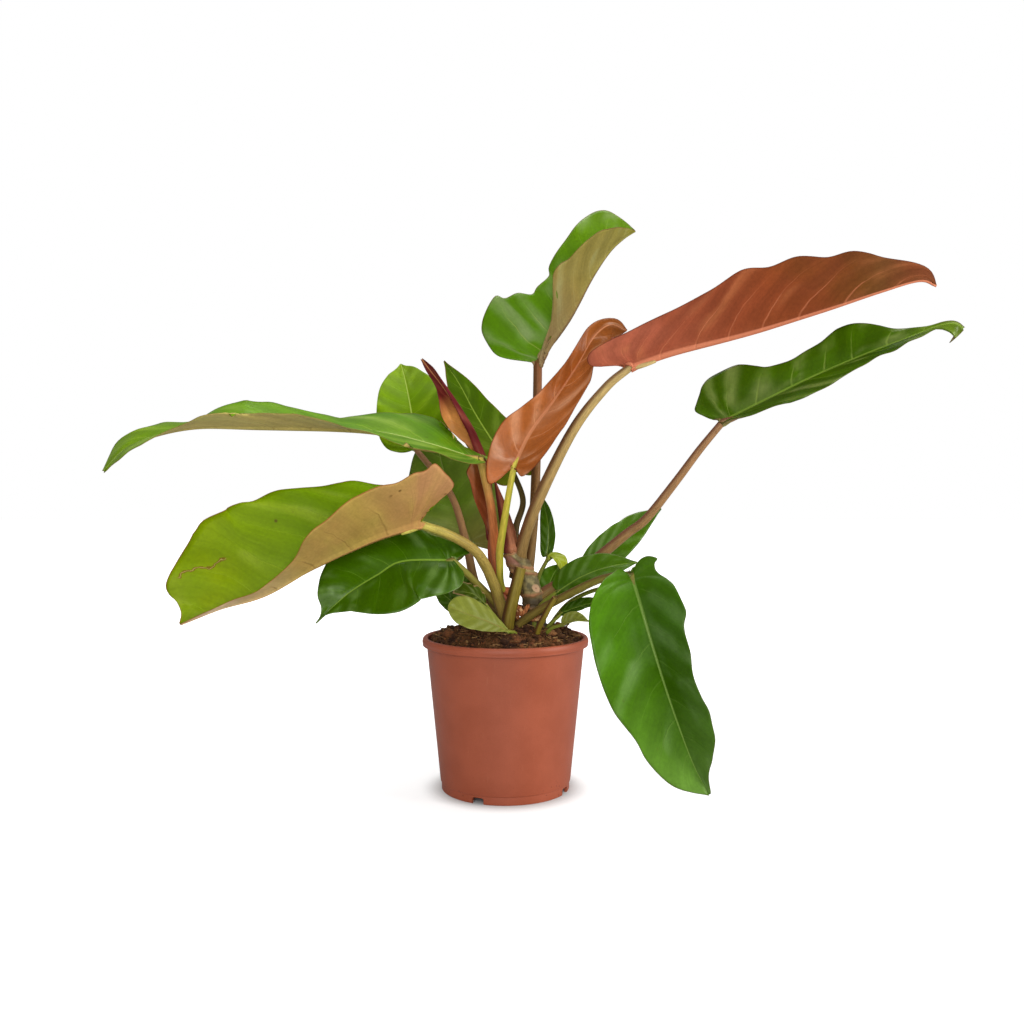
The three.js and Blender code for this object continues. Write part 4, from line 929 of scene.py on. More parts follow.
smallLeaf = {  # holds where a small leaf says nothing else
    "size": "small", "finish": "basalBlade", "stalkFinish": "youngStalk", "outline": outlines["slim"],
    "left": {"fold": [15]}, "right": {"fold": [15]},
}
leaves = [
    {
        "name": "top_leaf", "size": "large", "finish": "topBlade", "stalkFinish": "brownStalk",
        "halfWidth": 50, "stalkRadius": [4.5, 4.2, 4, 3.9],
        "stalk": [[13, -3, 164], [18, 3, 178], [21, 8, 196], [25, 20, 242], [27, 30, 303], [28, 38, 361]],
        "midrib": [
            [28, 38, 361], [38, 36, 377], [56, 34, 403], [75, 36, 437], [91, 42, 460], [104, 50, 473],
            [115, 56, 481],
        ],
        "up": [
            [-0.3, -0.9, 0.3], [-0.45, -0.8, 0.4], [-0.7, -0.55, 0.45], [-0.75, -0.5, 0.5],
            [-0.6, -0.5, 0.6],
        ],
        "left": {"fold": [10, 20, 35, 45, 50]}, "right": {"fold": [95, 90, 70, 52, 55]},
        "outline": {
            "left": [
                [0, 0.06], [-0.03, 0.26], [-0.06, 0.48], [-0.08, 0.7], [-0.07, 0.88], [-0.02, 1.17],
                [0.03, 1.27], [0.1, 1.34], [0.18, 1.35], [0.2, 1.18], [0.28, 1.05], [0.33, 0.82],
                [0.4, 0.81], [0.49, 0.73], [0.55, 0.83], [0.7, 0.8], [0.87, 0.79], [0.94, 0.69],
                [0.98, 0.45], [1, 0.02],
            ],
            "right": [
                [0, 0.06], [0.04, 0.1], [0.12, 0.12], [0.2, 0.16], [0.26, 0.3], [0.32, 0.46], [0.37, 0.62],
                [0.41, 0.88], [0.45, 0.94], [0.5, 0.9], [0.54, 0.82], [0.6, 0.8], [0.68, 0.74],
                [0.75, 0.63], [0.82, 0.42], [0.92, 0.2], [1, 0.02],
            ],
        },
    },
    {
        "name": "coral_leaf", "size": "large", "finish": "coralBlade", "stalkFinish": "oliveStalk",
        "lean": 1.4, "halfWidth": 52, "stalkRadius": [5.2, 5, 4.4, 3.4],
        "stalk": [
            [11.5, -1, 192], [13, -6, 203], [27, -16, 243], [55, -26, 300], [81, -33, 334], [100, -38, 350],
        ],
        "midrib": [
            [100, -38, 350], [133, -42, 361], [192, -50, 375], [251, -62, 392], [289, -70, 404],
            [318, -72, 412], [332, -70, 408],
        ],
        "up": [[0, 0.5, 0.86]], "left": {"fold": [45]}, "right": {"fold": [45]},
        "outline": {
            "left": [
                [0, 0.06], [0, 0.16], [0.01, 0.32], [0.05, 0.48], [0.12, 0.58], [0.22, 0.68], [0.32, 0.8],
                [0.42, 0.92], [0.51, 0.88], [0.6, 0.86], [0.69, 0.74], [0.77, 0.66], [0.85, 0.47],
                [0.93, 0.27], [0.98, 0.1], [1, 0.02],
            ],
            "right": [
                [0, 0.06], [-0.06, 0.12], [-0.115, 0.2], [-0.125, 0.32], [-0.1, 0.43], [-0.03, 0.5],
                [0.06, 0.54], [0.18, 0.63], [0.3, 0.78], [0.42, 0.95], [0.51, 0.87], [0.6, 0.89],
                [0.69, 0.74], [0.77, 0.7], [0.85, 0.47], [0.93, 0.27], [0.98, 0.1], [1, 0.02],
            ],
        },
    },
    {
        "name": "copper_leaf", "size": "large", "finish": "copperBlade", "stalkFinish": "yellowStalk",
        "halfWidth": 28, "stalkRadius": [2.6, 3.2, 2.8, 2.4],
        "stalk": [
            [-2.5, -6, 167], [-3.6, -8.5, 172], [-4.4, -12, 179], [-4.6, -15, 190], [-4.4, -18, 203],
            [-1, -24, 225], [2.5, -29, 246], [7, -34, 270],
        ],
        "midrib": [
            [7, -34, 270], [20, -28, 297], [40, -16, 325], [60, 0, 355], [76, 12, 382], [90, 16, 392],
            [103, 10, 386],
        ],
        "up": [[-0.2, -0.95, 0.3], [0, -0.9, 0.3], [0, -0.9, 0.4], [-0.2, -0.5, 0.8], [-0.2, 0.1, 0.95]],
        "left": {"fold": [5, 15, 38, 60, 60], "curl": [12, 25, 30]},
        "right": {"fold": [15, 20, 25, 28, 30, 20, -60, -75], "curl": [30]},
        "outline": {
            "left": [
                [0, 0.06], [-0.07, 0.2], [-0.12, 0.46], [-0.05, 0.74], [0.05, 0.88], [0.16, 0.86],
                [0.25, 0.66], [0.36, 0.52], [0.5, 0.46], [0.62, 0.4], [0.75, 0.36], [0.86, 0.3],
                [0.95, 0.16], [1, 0.02],
            ],
            "right": [
                [0, 0.06], [-0.02, 0.2], [-0.03, 0.42], [0.02, 0.7], [0.12, 0.98], [0.25, 1.1], [0.4, 1.08],
                [0.5, 1], [0.62, 0.9], [0.72, 0.86], [0.82, 0.84], [0.91, 0.66], [0.97, 0.34], [1, 0.02],
            ],
        },
    },
    {
        "name": "right_leaf", "size": "large", "finish": "deepBlade", "stalkFinish": "tanStalk",
        "halfWidth": 43, "stalkRadius": [6, 4, 3],
        "stalk": [
            [18, -3, 148], [31, -1, 163], [62, -6, 183], [99, -14, 214], [116, -19, 228], [138, -26, 257],
            [157, -33, 284], [174, -40, 306],
        ],
        "midrib": [
            [174, -40, 306], [203, -46, 321], [243, -54, 341], [282, -62, 358], [313, -64, 370],
            [336, -62, 379], [349, -62, 381], [357, -62, 377],
        ],
        "up": [[-0.3, -0.55, 0.78]], "left": {"fold": [22]},
        "right": {"fold": [28, 20, 12, 12, 12, 12, 12, -10, -45]},
        "outline": {
            "left": [
                [0, 0.06], [-0.03, 0.17], [-0.055, 0.34], [-0.075, 0.52], [-0.055, 0.66], [-0.03, 0.8],
                [0, 0.96], [0.05, 1.05], [0.14, 1.02], [0.18, 0.94], [0.22, 0.79], [0.26, 0.64],
                [0.34, 0.56], [0.41, 0.6], [0.47, 0.65], [0.52, 0.74], [0.56, 0.78], [0.62, 0.72],
                [0.7, 0.49], [0.75, 0.31], [0.81, 0.15], [0.87, 0.06], [0.92, 0.05], [0.96, 0.06],
                [1, 0.03],
            ],
            "right": [
                [0, 0.06], [0, 0.2], [0.04, 0.4], [0.09, 0.54], [0.16, 0.63], [0.24, 0.63], [0.31, 0.74],
                [0.38, 0.69], [0.46, 0.56], [0.54, 0.47], [0.61, 0.3], [0.7, 0.23], [0.8, 0.14],
                [0.87, 0.06], [0.92, 0.12], [0.965, 0.32], [0.985, 0.34], [1, 0.03],
            ],
        },
    },
    {
        "name": "far_left_leaf", "size": "large", "finish": "farBlade", "stalkFinish": "warmStalk",
        "halfWidth": 40, "stalkRadius": [4.5, 4.5, 3.8, 3.4],
        "stalk": [
            [13, -3, 150], [4, -3, 153], [-3, -4, 163], [-6, -6, 176], [-7.5, -8, 190], [-9, -10, 205],
            [-10, -17, 222], [-12.5, -24, 243], [-20, -28, 276],
        ],
        "midrib": [
            [-20, -28, 276], [-65, -39, 290], [-111, -48, 299], [-189, -66, 300], [-241, -78, 299],
            [-282, -86, 286], [-303, -90, 266],
        ],
        "up": [[0, -0.2, 0.98]], "left": {"fold": [-4, -2, 2, 10, 27, 27, 18, 0, -4]},
        "right": {"fold": [10, 19, 14, 4, 16, 25, 6, 14, 5]},
        "outline": {
            "left": [
                [0, 0.06], [-0.01, 0.2], [0, 0.36], [0.035, 0.7], [0.09, 0.87], [0.13, 0.82], [0.19, 0.89],
                [0.24, 1.05], [0.3, 1.02], [0.4, 0.9], [0.5, 0.83], [0.57, 0.75], [0.62, 0.68],
                [0.68, 0.92], [0.72, 0.93], [0.76, 0.6], [0.84, 0.55], [0.88, 0.62], [0.94, 0.4],
                [0.98, 0.15], [1, 0.03],
            ],
            "right": [
                [0, 0.06], [-0.03, 0.2], [-0.03, 0.38], [0.02, 0.5], [0.06, 0.6], [0.1, 0.98], [0.13, 1.28],
                [0.19, 1.36], [0.24, 1.18], [0.3, 1.13], [0.35, 1.07], [0.43, 0.96], [0.5, 1.05],
                [0.55, 1.15], [0.6, 1.05], [0.7, 1.02], [0.76, 0.65], [0.82, 0.8], [0.86, 0.5], [0.93, 0.6],
                [0.97, 0.3], [1, 0.03],
            ],
        },
    },
    {
        "name": "left_leaf", "size": "large", "finish": "limeBlade", "stalkFinish": "speckledStalk",
        "halfWidth": 66, "stalkRadius": [6, 4.5, 3.4],
        "stalk": [
            [10, -8, 121], [5, -9, 130], [-2, -13, 150], [-9, -20, 173], [-22, -34, 200], [-44, -50, 216],
            [-66, -64, 225],
        ],
        "midrib": [
            [-66, -64, 225], [-98, -76, 215], [-141, -90, 195], [-178, -102, 174], [-209, -112, 165],
            [-236, -120, 154],
        ],
        "up": [[0, -0.3, 0.95]], "left": {"fold": [60, 60, 60, 56, 50, 44, 42, 42, 42]},
        "right": {"fold": [58]},
        "outline": {
            "left": [
                [0, 0.06], [-0.03, 0.18], [-0.055, 0.27], [-0.1, 0.38], [-0.14, 0.51], [-0.13, 0.64],
                [-0.1, 0.8], [-0.06, 0.98], [-0.02, 0.92], [0.04, 0.95], [0.1, 0.86], [0.16, 0.9],
                [0.26, 0.88], [0.36, 0.8], [0.42, 0.79], [0.46, 0.71], [0.5, 0.52], [0.54, 0.42],
                [0.63, 0.3], [0.77, 0.2], [0.87, 0.1], [1, 0.02],
            ],
            "right": [
                [0, 0.06], [-0.04, 0.2], [-0.06, 0.38], [0.02, 0.5], [0.11, 0.6], [0.18, 0.74],
                [0.23, 0.78], [0.29, 0.82], [0.37, 0.91], [0.45, 1], [0.52, 1.01], [0.57, 1.07],
                [0.65, 1.09], [0.8, 1.04], [0.84, 0.93], [0.87, 0.82], [0.93, 0.65], [0.97, 0.55],
                [0.995, 0.46], [0.995, 0.36], [0.98, 0.26], [0.98, 0.12], [1, 0.02],
            ],
        },
    },
    {
        "name": "dark_left_leaf", "size": "large", "finish": "glossyBlade", "stalkFinish": "greenStalk",
        "halfWidth": 44, "stalkRadius": [4, 2.6],
        "stalk": [
            [12, -1, 121], [5, -1, 134], [-3, -5, 150], [-14, -15, 164], [-28, -27, 180], [-42, -40, 195],
        ],
        "midrib": [[-42, -40, 195], [-81, -52, 195], [-100, -60, 185], [-122, -68, 171], [-146, -74, 149]],
        "up": [[0.1, -0.75, 0.7]], "left": {"fold": [14], "curl": [-8]},
        "right": {"fold": [14], "curl": [-8]},
        "outline": {
            "left": [
                [0, 0.06], [-0.02, 0.18], [-0.04, 0.4], [-0.01, 0.68], [0.08, 0.88], [0.2, 0.98],
                [0.34, 1.02], [0.49, 1.03], [0.58, 0.95], [0.67, 0.78], [0.76, 0.5], [0.8, 0.33],
                [0.87, 0.13], [0.94, 0.04], [1, 0.01],
            ],
            "right": [
                [-0.01, 0.06], [-0.06, 0.08], [-0.12, 0.14], [-0.12, 0.25], [-0.06, 0.34], [0.02, 0.4],
                [0.12, 0.52], [0.22, 0.72], [0.34, 0.92], [0.5, 0.93], [0.66, 0.8], [0.775, 0.61],
                [0.83, 0.48], [0.88, 0.33], [0.91, 0.15], [0.95, 0.05], [1, 0.01],
            ],
        },
    },
    {
        "name": "bright_back_leaf", "size": "large", "finish": "brightBlade", "stalkFinish": "tanStalk",
        "halfWidth": 32, "stalkRadius": [5, 3.5, 2.6],
        "stalk": [
            [14, 4, 121], [7, 6, 134], [-8, 7, 150], [-25, 14, 168], [-35, 28, 208], [-49, 40, 248],
            [-80, 52, 287],
        ],
        "midrib": [[-80, 52, 287], [-86, 68, 323], [-94, 92, 354], [-100, 112, 370]],
        "up": [[0, -0.85, 0.5]], "left": {"fold": [10]}, "right": {"fold": [10]},
        "outline": [
            [0, 0.08], [-0.02, 0.26], [-0.02, 0.5], [0.02, 0.78], [0.1, 0.95], [0.2, 1], [0.34, 0.99],
            [0.48, 0.92], [0.62, 0.8], [0.76, 0.58], [0.88, 0.33], [0.95, 0.12], [1, 0.02],
        ],
    },
    {
        "name": "centre_back_leaf", "size": "large", "finish": "centreBlade", "stalkFinish": "darkStalk",
        "halfWidth": 28, "stalkRadius": [3.5, 2.2],
        "stalk": [[7, -2, 178], [8, 6, 194], [9, 16, 219], [15, 26, 242], [6, 34, 268]],
        "midrib": [[6, 34, 268], [-13, 44, 296], [-28, 54, 320], [-42, 62, 346], [-56, 66, 367]],
        "up": [[0.3, -0.85, 0.4]], "left": {"fold": [10]}, "right": {"fold": [15]},
        "outline": {
            "left": outlines["heart"],
            "right": [
                [-0.01, 0.06], [-0.05, 0.17], [-0.1, 0.42], [-0.07, 0.72], [0.03, 0.9], [0.14, 0.94],
                [0.3, 0.86], [0.45, 0.74], [0.6, 0.58], [0.75, 0.4], [0.87, 0.22], [0.95, 0.08], [1, 0.02],
            ],
        },
    },
    {
        "name": "dark_back_leaf", "size": "large", "finish": "shadeBlade", "stalkFinish": "greenStalk",
        "halfWidth": 43, "stalkRadius": [4, 2.6],
        "stalk": [
            [17, 7, 121], [10, 11, 138], [0, 14, 156], [-12, 22, 173], [-23, 34, 190], [-30, 42, 202],
        ],
        "midrib": [[-30, 42, 202], [-46, 64, 238], [-60, 84, 278], [-66, 94, 316]],
        "up": [[0.1, -0.85, 0.5], [0, -0.9, 0.4], [-0.1, -0.95, 0.3]],
        "left": {"fold": [18, 10, 6], "curl": [-24, -12]},
        "right": {"fold": [16, 12, 8], "curl": [-20, -30]}, "outline": outlines["heart"],
    },
    {
        "name": "new_red_leaf", "size": "rolled", "finish": "maroonBlade", "stalkFinish": "redStalk",
        "halfWidth": 22, "stalkRadius": [3.8, 3.6],
        "stalk": [
            [7, -4, 166], [-2, -5, 167.5], [-8, -5, 176], [-10.5, -3, 188], [-11.5, -1, 200], [-11, 0, 210],
        ],
        "midrib": [
            [-11, 0, 210], [-15, 1, 244], [-17, 0, 269], [-28, 0, 298], [-48, 2, 331], [-71, 6, 362],
        ],
        "up": [[0, -1, 0.2]], "left": {"fold": [10], "curl": [50, 50, 40, 20, 120, 170]},
        "right": {"fold": [10], "curl": [260, 340, 400]},
        "outline": {
            "left": [
                [0, 0.05], [0.03, 0.12], [0.1, 0.28], [0.2, 0.55], [0.3, 0.78], [0.36, 0.85], [0.4, 0.55],
                [0.45, 0.32], [0.5, 0.36], [0.56, 0.58], [0.63, 0.8], [0.7, 0.95], [0.75, 0.88],
                [0.79, 0.5], [0.83, 0.25], [0.91, 0.16], [1, 0.03],
            ],
            "right": [
                [0, 0.08], [0.02, 0.3], [0.1, 0.5], [0.3, 0.7], [0.55, 0.62], [0.8, 0.42], [0.93, 0.2],
                [1, 0.03],
            ],
        },
    },
    {
        "name": "hanging_leaf", "size": "large", "finish": "hangingBlade", "stalkFinish": "greenStalk",
        "halfWidth": 44, "stalkRadius": [4, 2.8],
        "stalk": [
            [14, -10, 121], [8, -14, 134], [18, -20, 146], [40, -34, 161], [74, -66, 182], [96, -88, 188],
        ],
        "midrib": [
            [96, -88, 188], [101, -100, 168], [109, -106, 139], [122, -110, 97], [138, -112, 53],
            [151, -112, 27],
        ],
        "up": [[0, -1, 0.1]], "left": {"fold": [38, 40, 45, 45, 42]}, "right": {"fold": [20]},
        "outline": {
            "left": [
                [0, 0.06], [-0.03, 0.1], [-0.04, 0.18], [-0.045, 0.3], [-0.035, 0.44], [-0.005, 0.58],
                [0.01, 0.5], [0.04, 0.48], [0.07, 0.53], [0.1, 0.64], [0.14, 0.75], [0.22, 0.83],
                [0.28, 0.72], [0.39, 0.68], [0.49, 0.62], [0.57, 0.64], [0.66, 0.68], [0.75, 0.62],
                [0.845, 0.4], [0.91, 0.2], [1, 0.02],
            ],
            "right": [
                [0, 0.06], [-0.02, 0.14], [-0.03, 0.22], [-0.01, 0.36], [0.01, 0.5], [0.05, 0.65],
                [0.08, 0.77], [0.14, 0.95], [0.22, 1.05], [0.36, 1.1], [0.52, 1.04], [0.65, 0.84],
                [0.75, 0.76], [0.87, 0.55], [0.95, 0.25], [1, 0.02],
            ],
        },
    },
    {
        **smallLeaf, "name": "side_leaf", "halfWidth": 17, "stalkRadius": [2.6, 1.8],
        "stalk": [[24, 6, 121], [22, 8, 136], [24, 8, 148], [43, 8, 163], [66, 14, 182]],
        "midrib": [[66, 14, 182], [92, 28, 204], [117, 42, 222], [139, 54, 234]],
        "up": [[-0.1, -0.95, 0.1]], "left": {"fold": [48]}, "right": {"fold": [5]},
    },
    {
        **smallLeaf, "name": "low_right_leaf", "halfWidth": 16, "stalkRadius": [2.6, 1.8],
        "stalk": [[25, -9, 121], [24, -10, 134], [25, -10, 148], [32, -11, 158], [43, -16, 167]],
        "midrib": [[43, -16, 167], [62, -24, 180], [84, -30, 189], [107, -34, 193]],
        "up": [[-0.1, -0.8, 0.6]],
    },
    {
        **smallLeaf, "name": "slim_leaf", "halfWidth": 8, "stalkRadius": [2.4, 1.6],
        "stalk": [[19, 1, 150], [23, 9, 166], [30, 18, 180], [38, 32, 193]],
        "midrib": [[36, 32, 193], [38, 36, 211], [36, 42, 230], [32, 50, 246]], "up": [[-0.5, -0.8, 0.1]],
    },
    {
        **smallLeaf,
        "name": "yellow_leaf", "finish": "yellowBlade", "halfWidth": 8, "stalkRadius": [2, 1.4],
        "stalk": [[21, 0, 142], [24, 7, 158], [29, 12, 178], [36, 16, 191]],
        "midrib": [[36, 16, 191], [42, 14, 194], [47, 8, 189], [49, 4, 180]], "up": [[0.2, -0.3, 0.9]],
    },
    {
        **smallLeaf, "name": "stem_side_leaf", "halfWidth": 12, "stalkRadius": [2, 1.4],
        "stalk": [[24, 12, 121], [25, 12, 132], [28, 11, 146], [34, 12, 157]],
        "midrib": [[34, 12, 157], [37, 15, 168], [41, 19, 178], [47, 25, 187]], "up": [[0, -0.8, 0.4]],
    },
    {
        **smallLeaf, "name": "soil_right_leaf", "halfWidth": 8, "stalkRadius": [2, 1.4],
        "stalk": [[31, -15, 121], [31, -16, 126], [35, -17, 138], [47, -20, 150]],
        "midrib": [[47, -20, 150], [58, -25, 155], [70, -30, 159], [82, -35, 160]], "up": [[0, -0.6, 0.8]],
    },
    {
        **smallLeaf,
        "name": "pale_right_leaf", "finish": "paleBlade", "halfWidth": 8, "stalkRadius": [2, 1.4],
        "stalk": [[30, -27, 121], [30, -28, 126], [36, -33, 138], [46, -39, 143]],
        "midrib": [[46, -39, 143], [56, -44, 147], [67, -49, 147]], "up": [[0, -0.6, 0.8]],
        "left": {"fold": [35]}, "right": {"fold": [35]},
    },
    {
        **smallLeaf, "name": "thin_stalk_leaf", "halfWidth": 12, "stalkRadius": [2, 1.6],
        "stalk": [
            [34, -4, 121], [34, -5, 130], [43, -9, 146], [55, -18, 160], [75, -26, 170], [89, -26, 170],
        ],
        "midrib": [[89, -26, 170], [101, -24, 164], [111, -20, 156], [120, -16, 144]],
        "up": [[0, -0.6, 0.8]],
    },
    {
        **smallLeaf,
        "name": "pale_front_leaf", "finish": "paleBlade", "halfWidth": 15, "stalkRadius": [2.2, 1.6],
        "stalk": [[12, -25, 121], [12, -27, 126], [8, -34, 135], [3, -42, 138]],
        "midrib": [[3, -42, 138], [-12, -49, 146], [-28, -55, 153], [-45, -60, 160]],
        "up": [[-0.1, -0.7, 0.7]], "left": {"fold": [10]}, "right": {"fold": [10]},
        "outline": [
            [0, 0.06], [0.1, 0.25], [0.25, 0.55], [0.45, 0.85], [0.65, 1], [0.8, 0.95], [0.92, 0.7],
            [0.98, 0.35], [1, 0.05],
        ],
    },
    {
        **smallLeaf,
        "name": "ragged_leaf", "finish": "raggedBlade", "halfWidth": 10, "stalkRadius": [2, 1.4],
        "stalk": [[-6, -20, 121], [-6, -20, 130], [-9, -21, 146], [-16, -28, 158]],
        "midrib": [[-16, -28, 158], [-24, -34, 166], [-32, -38, 169], [-42, -42, 169]],
        "up": [[0, -0.6, 0.8]], "left": {"fold": [10]}, "right": {"fold": [10]},
        "outline": {
            "left": outlines["slim"],
            "right": [
                [0, 0.08], [0.02, 0.4], [0.08, 0.75], [0.15, 0.9], [0.22, 0.78], [0.3, 1.02], [0.38, 1.1],
                [0.45, 0.92], [0.52, 1.12], [0.6, 1], [0.68, 1.15], [0.78, 0.95], [0.86, 0.7], [0.94, 0.4],
                [1, 0.03],
            ],
        },
    },
    {
        **smallLeaf, "name": "low_left_leaf", "halfWidth": 12, "stalkRadius": [2, 1.4],
        "stalk": [[-14, -3, 121], [-14, -3, 130], [-18, -4, 146], [-28, -8, 156]],
        "midrib": [[-28, -8, 156], [-36, -14, 167], [-41, -16, 177], [-44, -16, 187]],
        "up": [[0.2, -0.8, 0.3]], "left": {"fold": [10]}, "right": {"fold": [10]},
    },
    {
        **smallLeaf, "name": "back_left_leaf", "halfWidth": 10, "stalkRadius": [2, 1.4],
        "stalk": [[-18, 12, 121], [-18, 12, 128], [-24, 11, 142], [-36, 10, 149]],
        "midrib": [[-36, 10, 149], [-46, 10, 156], [-54, 12, 163], [-59, 16, 171]],
        "up": [[0.2, -0.8, 0.5]], "left": {"fold": [10]}, "right": {"fold": [10]},
    },
]

bladeMaterials = {
    name: bladeMaterial(name, {**plainBlade, **finish}) for name, finish in bladeFinishes.items()
}
stalkMaterials = {name: stalkMaterial(name, finish) for name, finish in stalkFinishes.items()}
for number, leaf in enumerate(leaves):
    buildStalk(leaf, buildBlade(leaf, number + 1))
print("leaves made:", len(leaves))


stemSettings = {
    "route": [
        [25, 0, 74], [26, -1, 110], [24.5, -2, 146], [21.5, -3, 168], [15.5, -4, 183], [7, -5, 193],
        [4, -5, 202],
    ],
    "radius": [7.5, 9, 9.6, 9.8, 9, 7.8, 6.6],
    "sides": 128,
    "steps": 300,
    "roughness": [[0.5, 9, 3], [0.3, 3.5, 4], [0.12, 1.3, 5]],  # height, pitch, seed
    # leaf scars that ring the stem: height, half width, how far they stand out, tilt towards the right
    "rings": [
        [198, 1.1, 0.5, 0.3], [187, 1.7, 0.9, -0.25], [182.5, 1.4, 1.3, -0.22], [164, 1.5, 1.2, 0.12],
        [152, 1.2, 0.8, -0.1], [144, 1.2, 0.7, 0.15],
    ],
    "ringWander": 0.9,
    # root knobs: degrees round from the front, height, half width, how far they stand out
    "knobs": [
        [62, 191, 2.6, 2.6], [35, 194, 2, 1.6], [78, 196, 2.2, 2], [-120, 186, 2.4, 2], [150, 176, 2.6, 2.2],
        [100, 158, 2.4, 1.8], [-60, 156, 2.2, 1.8], [20, 149, 2.4, 2], [60, 146, 2.6, 2.2],
        [-150, 150, 2.6, 2.4],
    ],
    "leafScar": [30, 169.4, 3.3],  # degrees round, height, radius
    "smoothFace": [-38, 191, 7.5],
    "woodyBelow": 164,
    "rootRadius": [2.6, 1.1],
    "rootRoutes": [
        [[25, 0, 84], [2, -12, 74], [-26, -18, 52], [-34, -16, 22]],
        [[25, 0, 90], [38, 14, 82], [44, 26, 58], [40, 28, 26]],
        [[25, 0, 80], [32, -16, 66], [30, -34, 44], [22, -38, 20]],
        [[25, 0, 82], [14, 16, 70], [-8, 30, 48], [-18, 36, 22]],
        [[25, 0, 78], [18, 2, 58], [8, 0, 38], [4, -4, 18]],
    ],
    "look": {
        "bark": ["#988a5a", "#625a3a"], "woody": "#483a22", "ring": ["#a47048", "#806040"],
        "knob": "#5a4426", "face": "#8c5e4a", "scar": ["#c09c78", "#8c3c2c"],
        "patchScale": 150, "streakScale": 900, "streakRise": 0.25, "streakTones": [0.72, 1.2],
        "bump": [0.7, 0.0005],
    },
}


# The stem carries stemMarks (ring, knob, woody part) and stemScars (distance from the leaf scar, smooth face,
# leaf scar).
def stemMaterial():
    look = stemSettings["look"]
    material, tree, shader = startMaterial("stemBark", 0.6, 0.35)
    marks = splitVector(tree, storedVector(tree, "stemMarks"))
    scars = splitVector(tree, storedVector(tree, "stemScars"))
    place = objectPlace(tree)
    patch = between(tree, noiseAt(tree, place, look["patchScale"], 4), 0.35, 0.65)
    streaks = noiseAt(tree, stretched(tree, place, look["streakRise"]), look["streakScale"], 4, 0.65)
    bark, tan = (blendColors(tree, patch, *map(fromHex, look[part])) for part in ("bark", "ring"))
    color = layOver(tree, bark, look["woody"], marks["Z"])
    color = shadeBy(tree, color, streaks, look["streakTones"])
    color = blendColors(tree, marks["X"], color, tan)
    color = layOver(tree, color, look["face"], scars["Y"])
    color = layOver(tree, color, look["knob"], marks["Y"])
    middle = between(tree, scars["X"], 0.0, 0.35, 1, 0)
    color = blendColors(tree, scars["Z"], color, blendColors(tree, middle, *map(fromHex, look["scar"])))
    setSurface(tree, shader, color, streaks, *look["bump"])
    return material


def buildStem():
    steps, sides = stemSettings["steps"], stemSettings["sides"]
    share = np.linspace(0, 1, steps)
    points = alongRoute(makeRoute(stemSettings["route"]), share)
    radial = spokes(anglesRound(sides), *tubeFrames(points, [0, -1, 0]))
    radius = valueAlong(stemSettings["radius"], share)[:, None]
    skin = points[:, None] + radial * radius[..., None]
    degreesRound = np.degrees(np.arctan2(radial[..., 0], -radial[..., 1]))
    height = skin[..., 2]
    sideways = skin[..., 0] - points[:, None, 0]

    def awayFrom(turn, level, size):  # distance over the bark, 1 at the mark's edge
        aside = np.radians((degreesRound - turn + 180) % 360 - 180)
        return np.hypot(aside * radius, height - level) / size

    lift = sum(rise * softNoise(skin, pitch, seed) for rise, pitch, seed in stemSettings["roughness"])
    ringMask = np.zeros_like(height)
    knobMask = np.zeros_like(height)
    for level, halfWidth, stand, tilt in stemSettings["rings"]:
        wander = stemSettings["ringWander"] * softNoise(skin, 6, int(level))
        away = (height - level - tilt * sideways - wander) / halfWidth
        ringMask = np.maximum(ringMask, bell(away))
        lift = lift + stand * bell(away) * (1 + 0.35 * softNoise(skin, 1.2, 8))
        lift = lift - 0.5 * bell((away - 2.1) / 0.7)
    for turn, level, halfWidth, stand in stemSettings["knobs"]:
        away = awayFrom(turn, level, halfWidth)
        knobMask = np.maximum(knobMask, bell(away))
        lift = lift + stand * np.exp(-(away**2.6)) * (1 + 0.4 * softNoise(skin, 1.5, 9))
    away = awayFrom(*stemSettings["leafScar"])
    scarMask = 1 - smoothStep(0.92, 1.1, away)
    lift = lift * (1 - 0.8 * scarMask) + 0.7 * bell((away - 1) / 0.2) - 0.35 * bell(away / 0.25)
    faceMask = 1 - smoothStep(0.75, 1, awayFrom(*stemSettings["smoothFace"]))
    lift = lift * (1 - 0.7 * faceMask) - 0.8 * faceMask
    skin = skin + radial * lift[..., None]
    woody = 1 - smoothStep(stemSettings["woodyBelow"] - 6, stemSettings["woodyBelow"] + 3, height)
    marks = np.stack([ringMask, knobMask * 0.9, woody], -1).reshape(-1, 3)
    scars = np.stack([away, faceMask * (1 - ringMask), scarMask], -1).reshape(-1, 3)
    marks, scars = np.vstack([marks, np.zeros((2, 3))]), np.vstack([scars, [[2, 0, 0]] * 2])
    skin = np.vstack([skin.reshape(-1, 3), points[0], points[-1]])
    count = steps * sides
    faces = gridFaces(steps, sides, closed=True)
    faces += fanFaces(sides, 0, count, flip=True) + fanFaces(sides, count - sides, count + 1)
    bark = stemMaterial()
    maps = {"stemMarks": marks, "stemScars": scars}
    makeMesh("stem_bark", skin, faces, bark, nodeSlots["stem"], ["stem"], maps)
    roots = []
    for k, route in enumerate(stemSettings["rootRoutes"]):
        line = alongRoute(makeRoute(route), np.linspace(0, 1, 60))
        thin = np.linspace(*stemSettings["rootRadius"], 60) + 0.25 * softNoise(line, 7, k)
        roots.append(tubeMesh(line, thin, 12, [0, 1, 0.2])[:2])
    makeMesh("main_roots", *joinParts(roots), bark, nodeSlots["stem"])


buildStem()
print("stem and roots made")


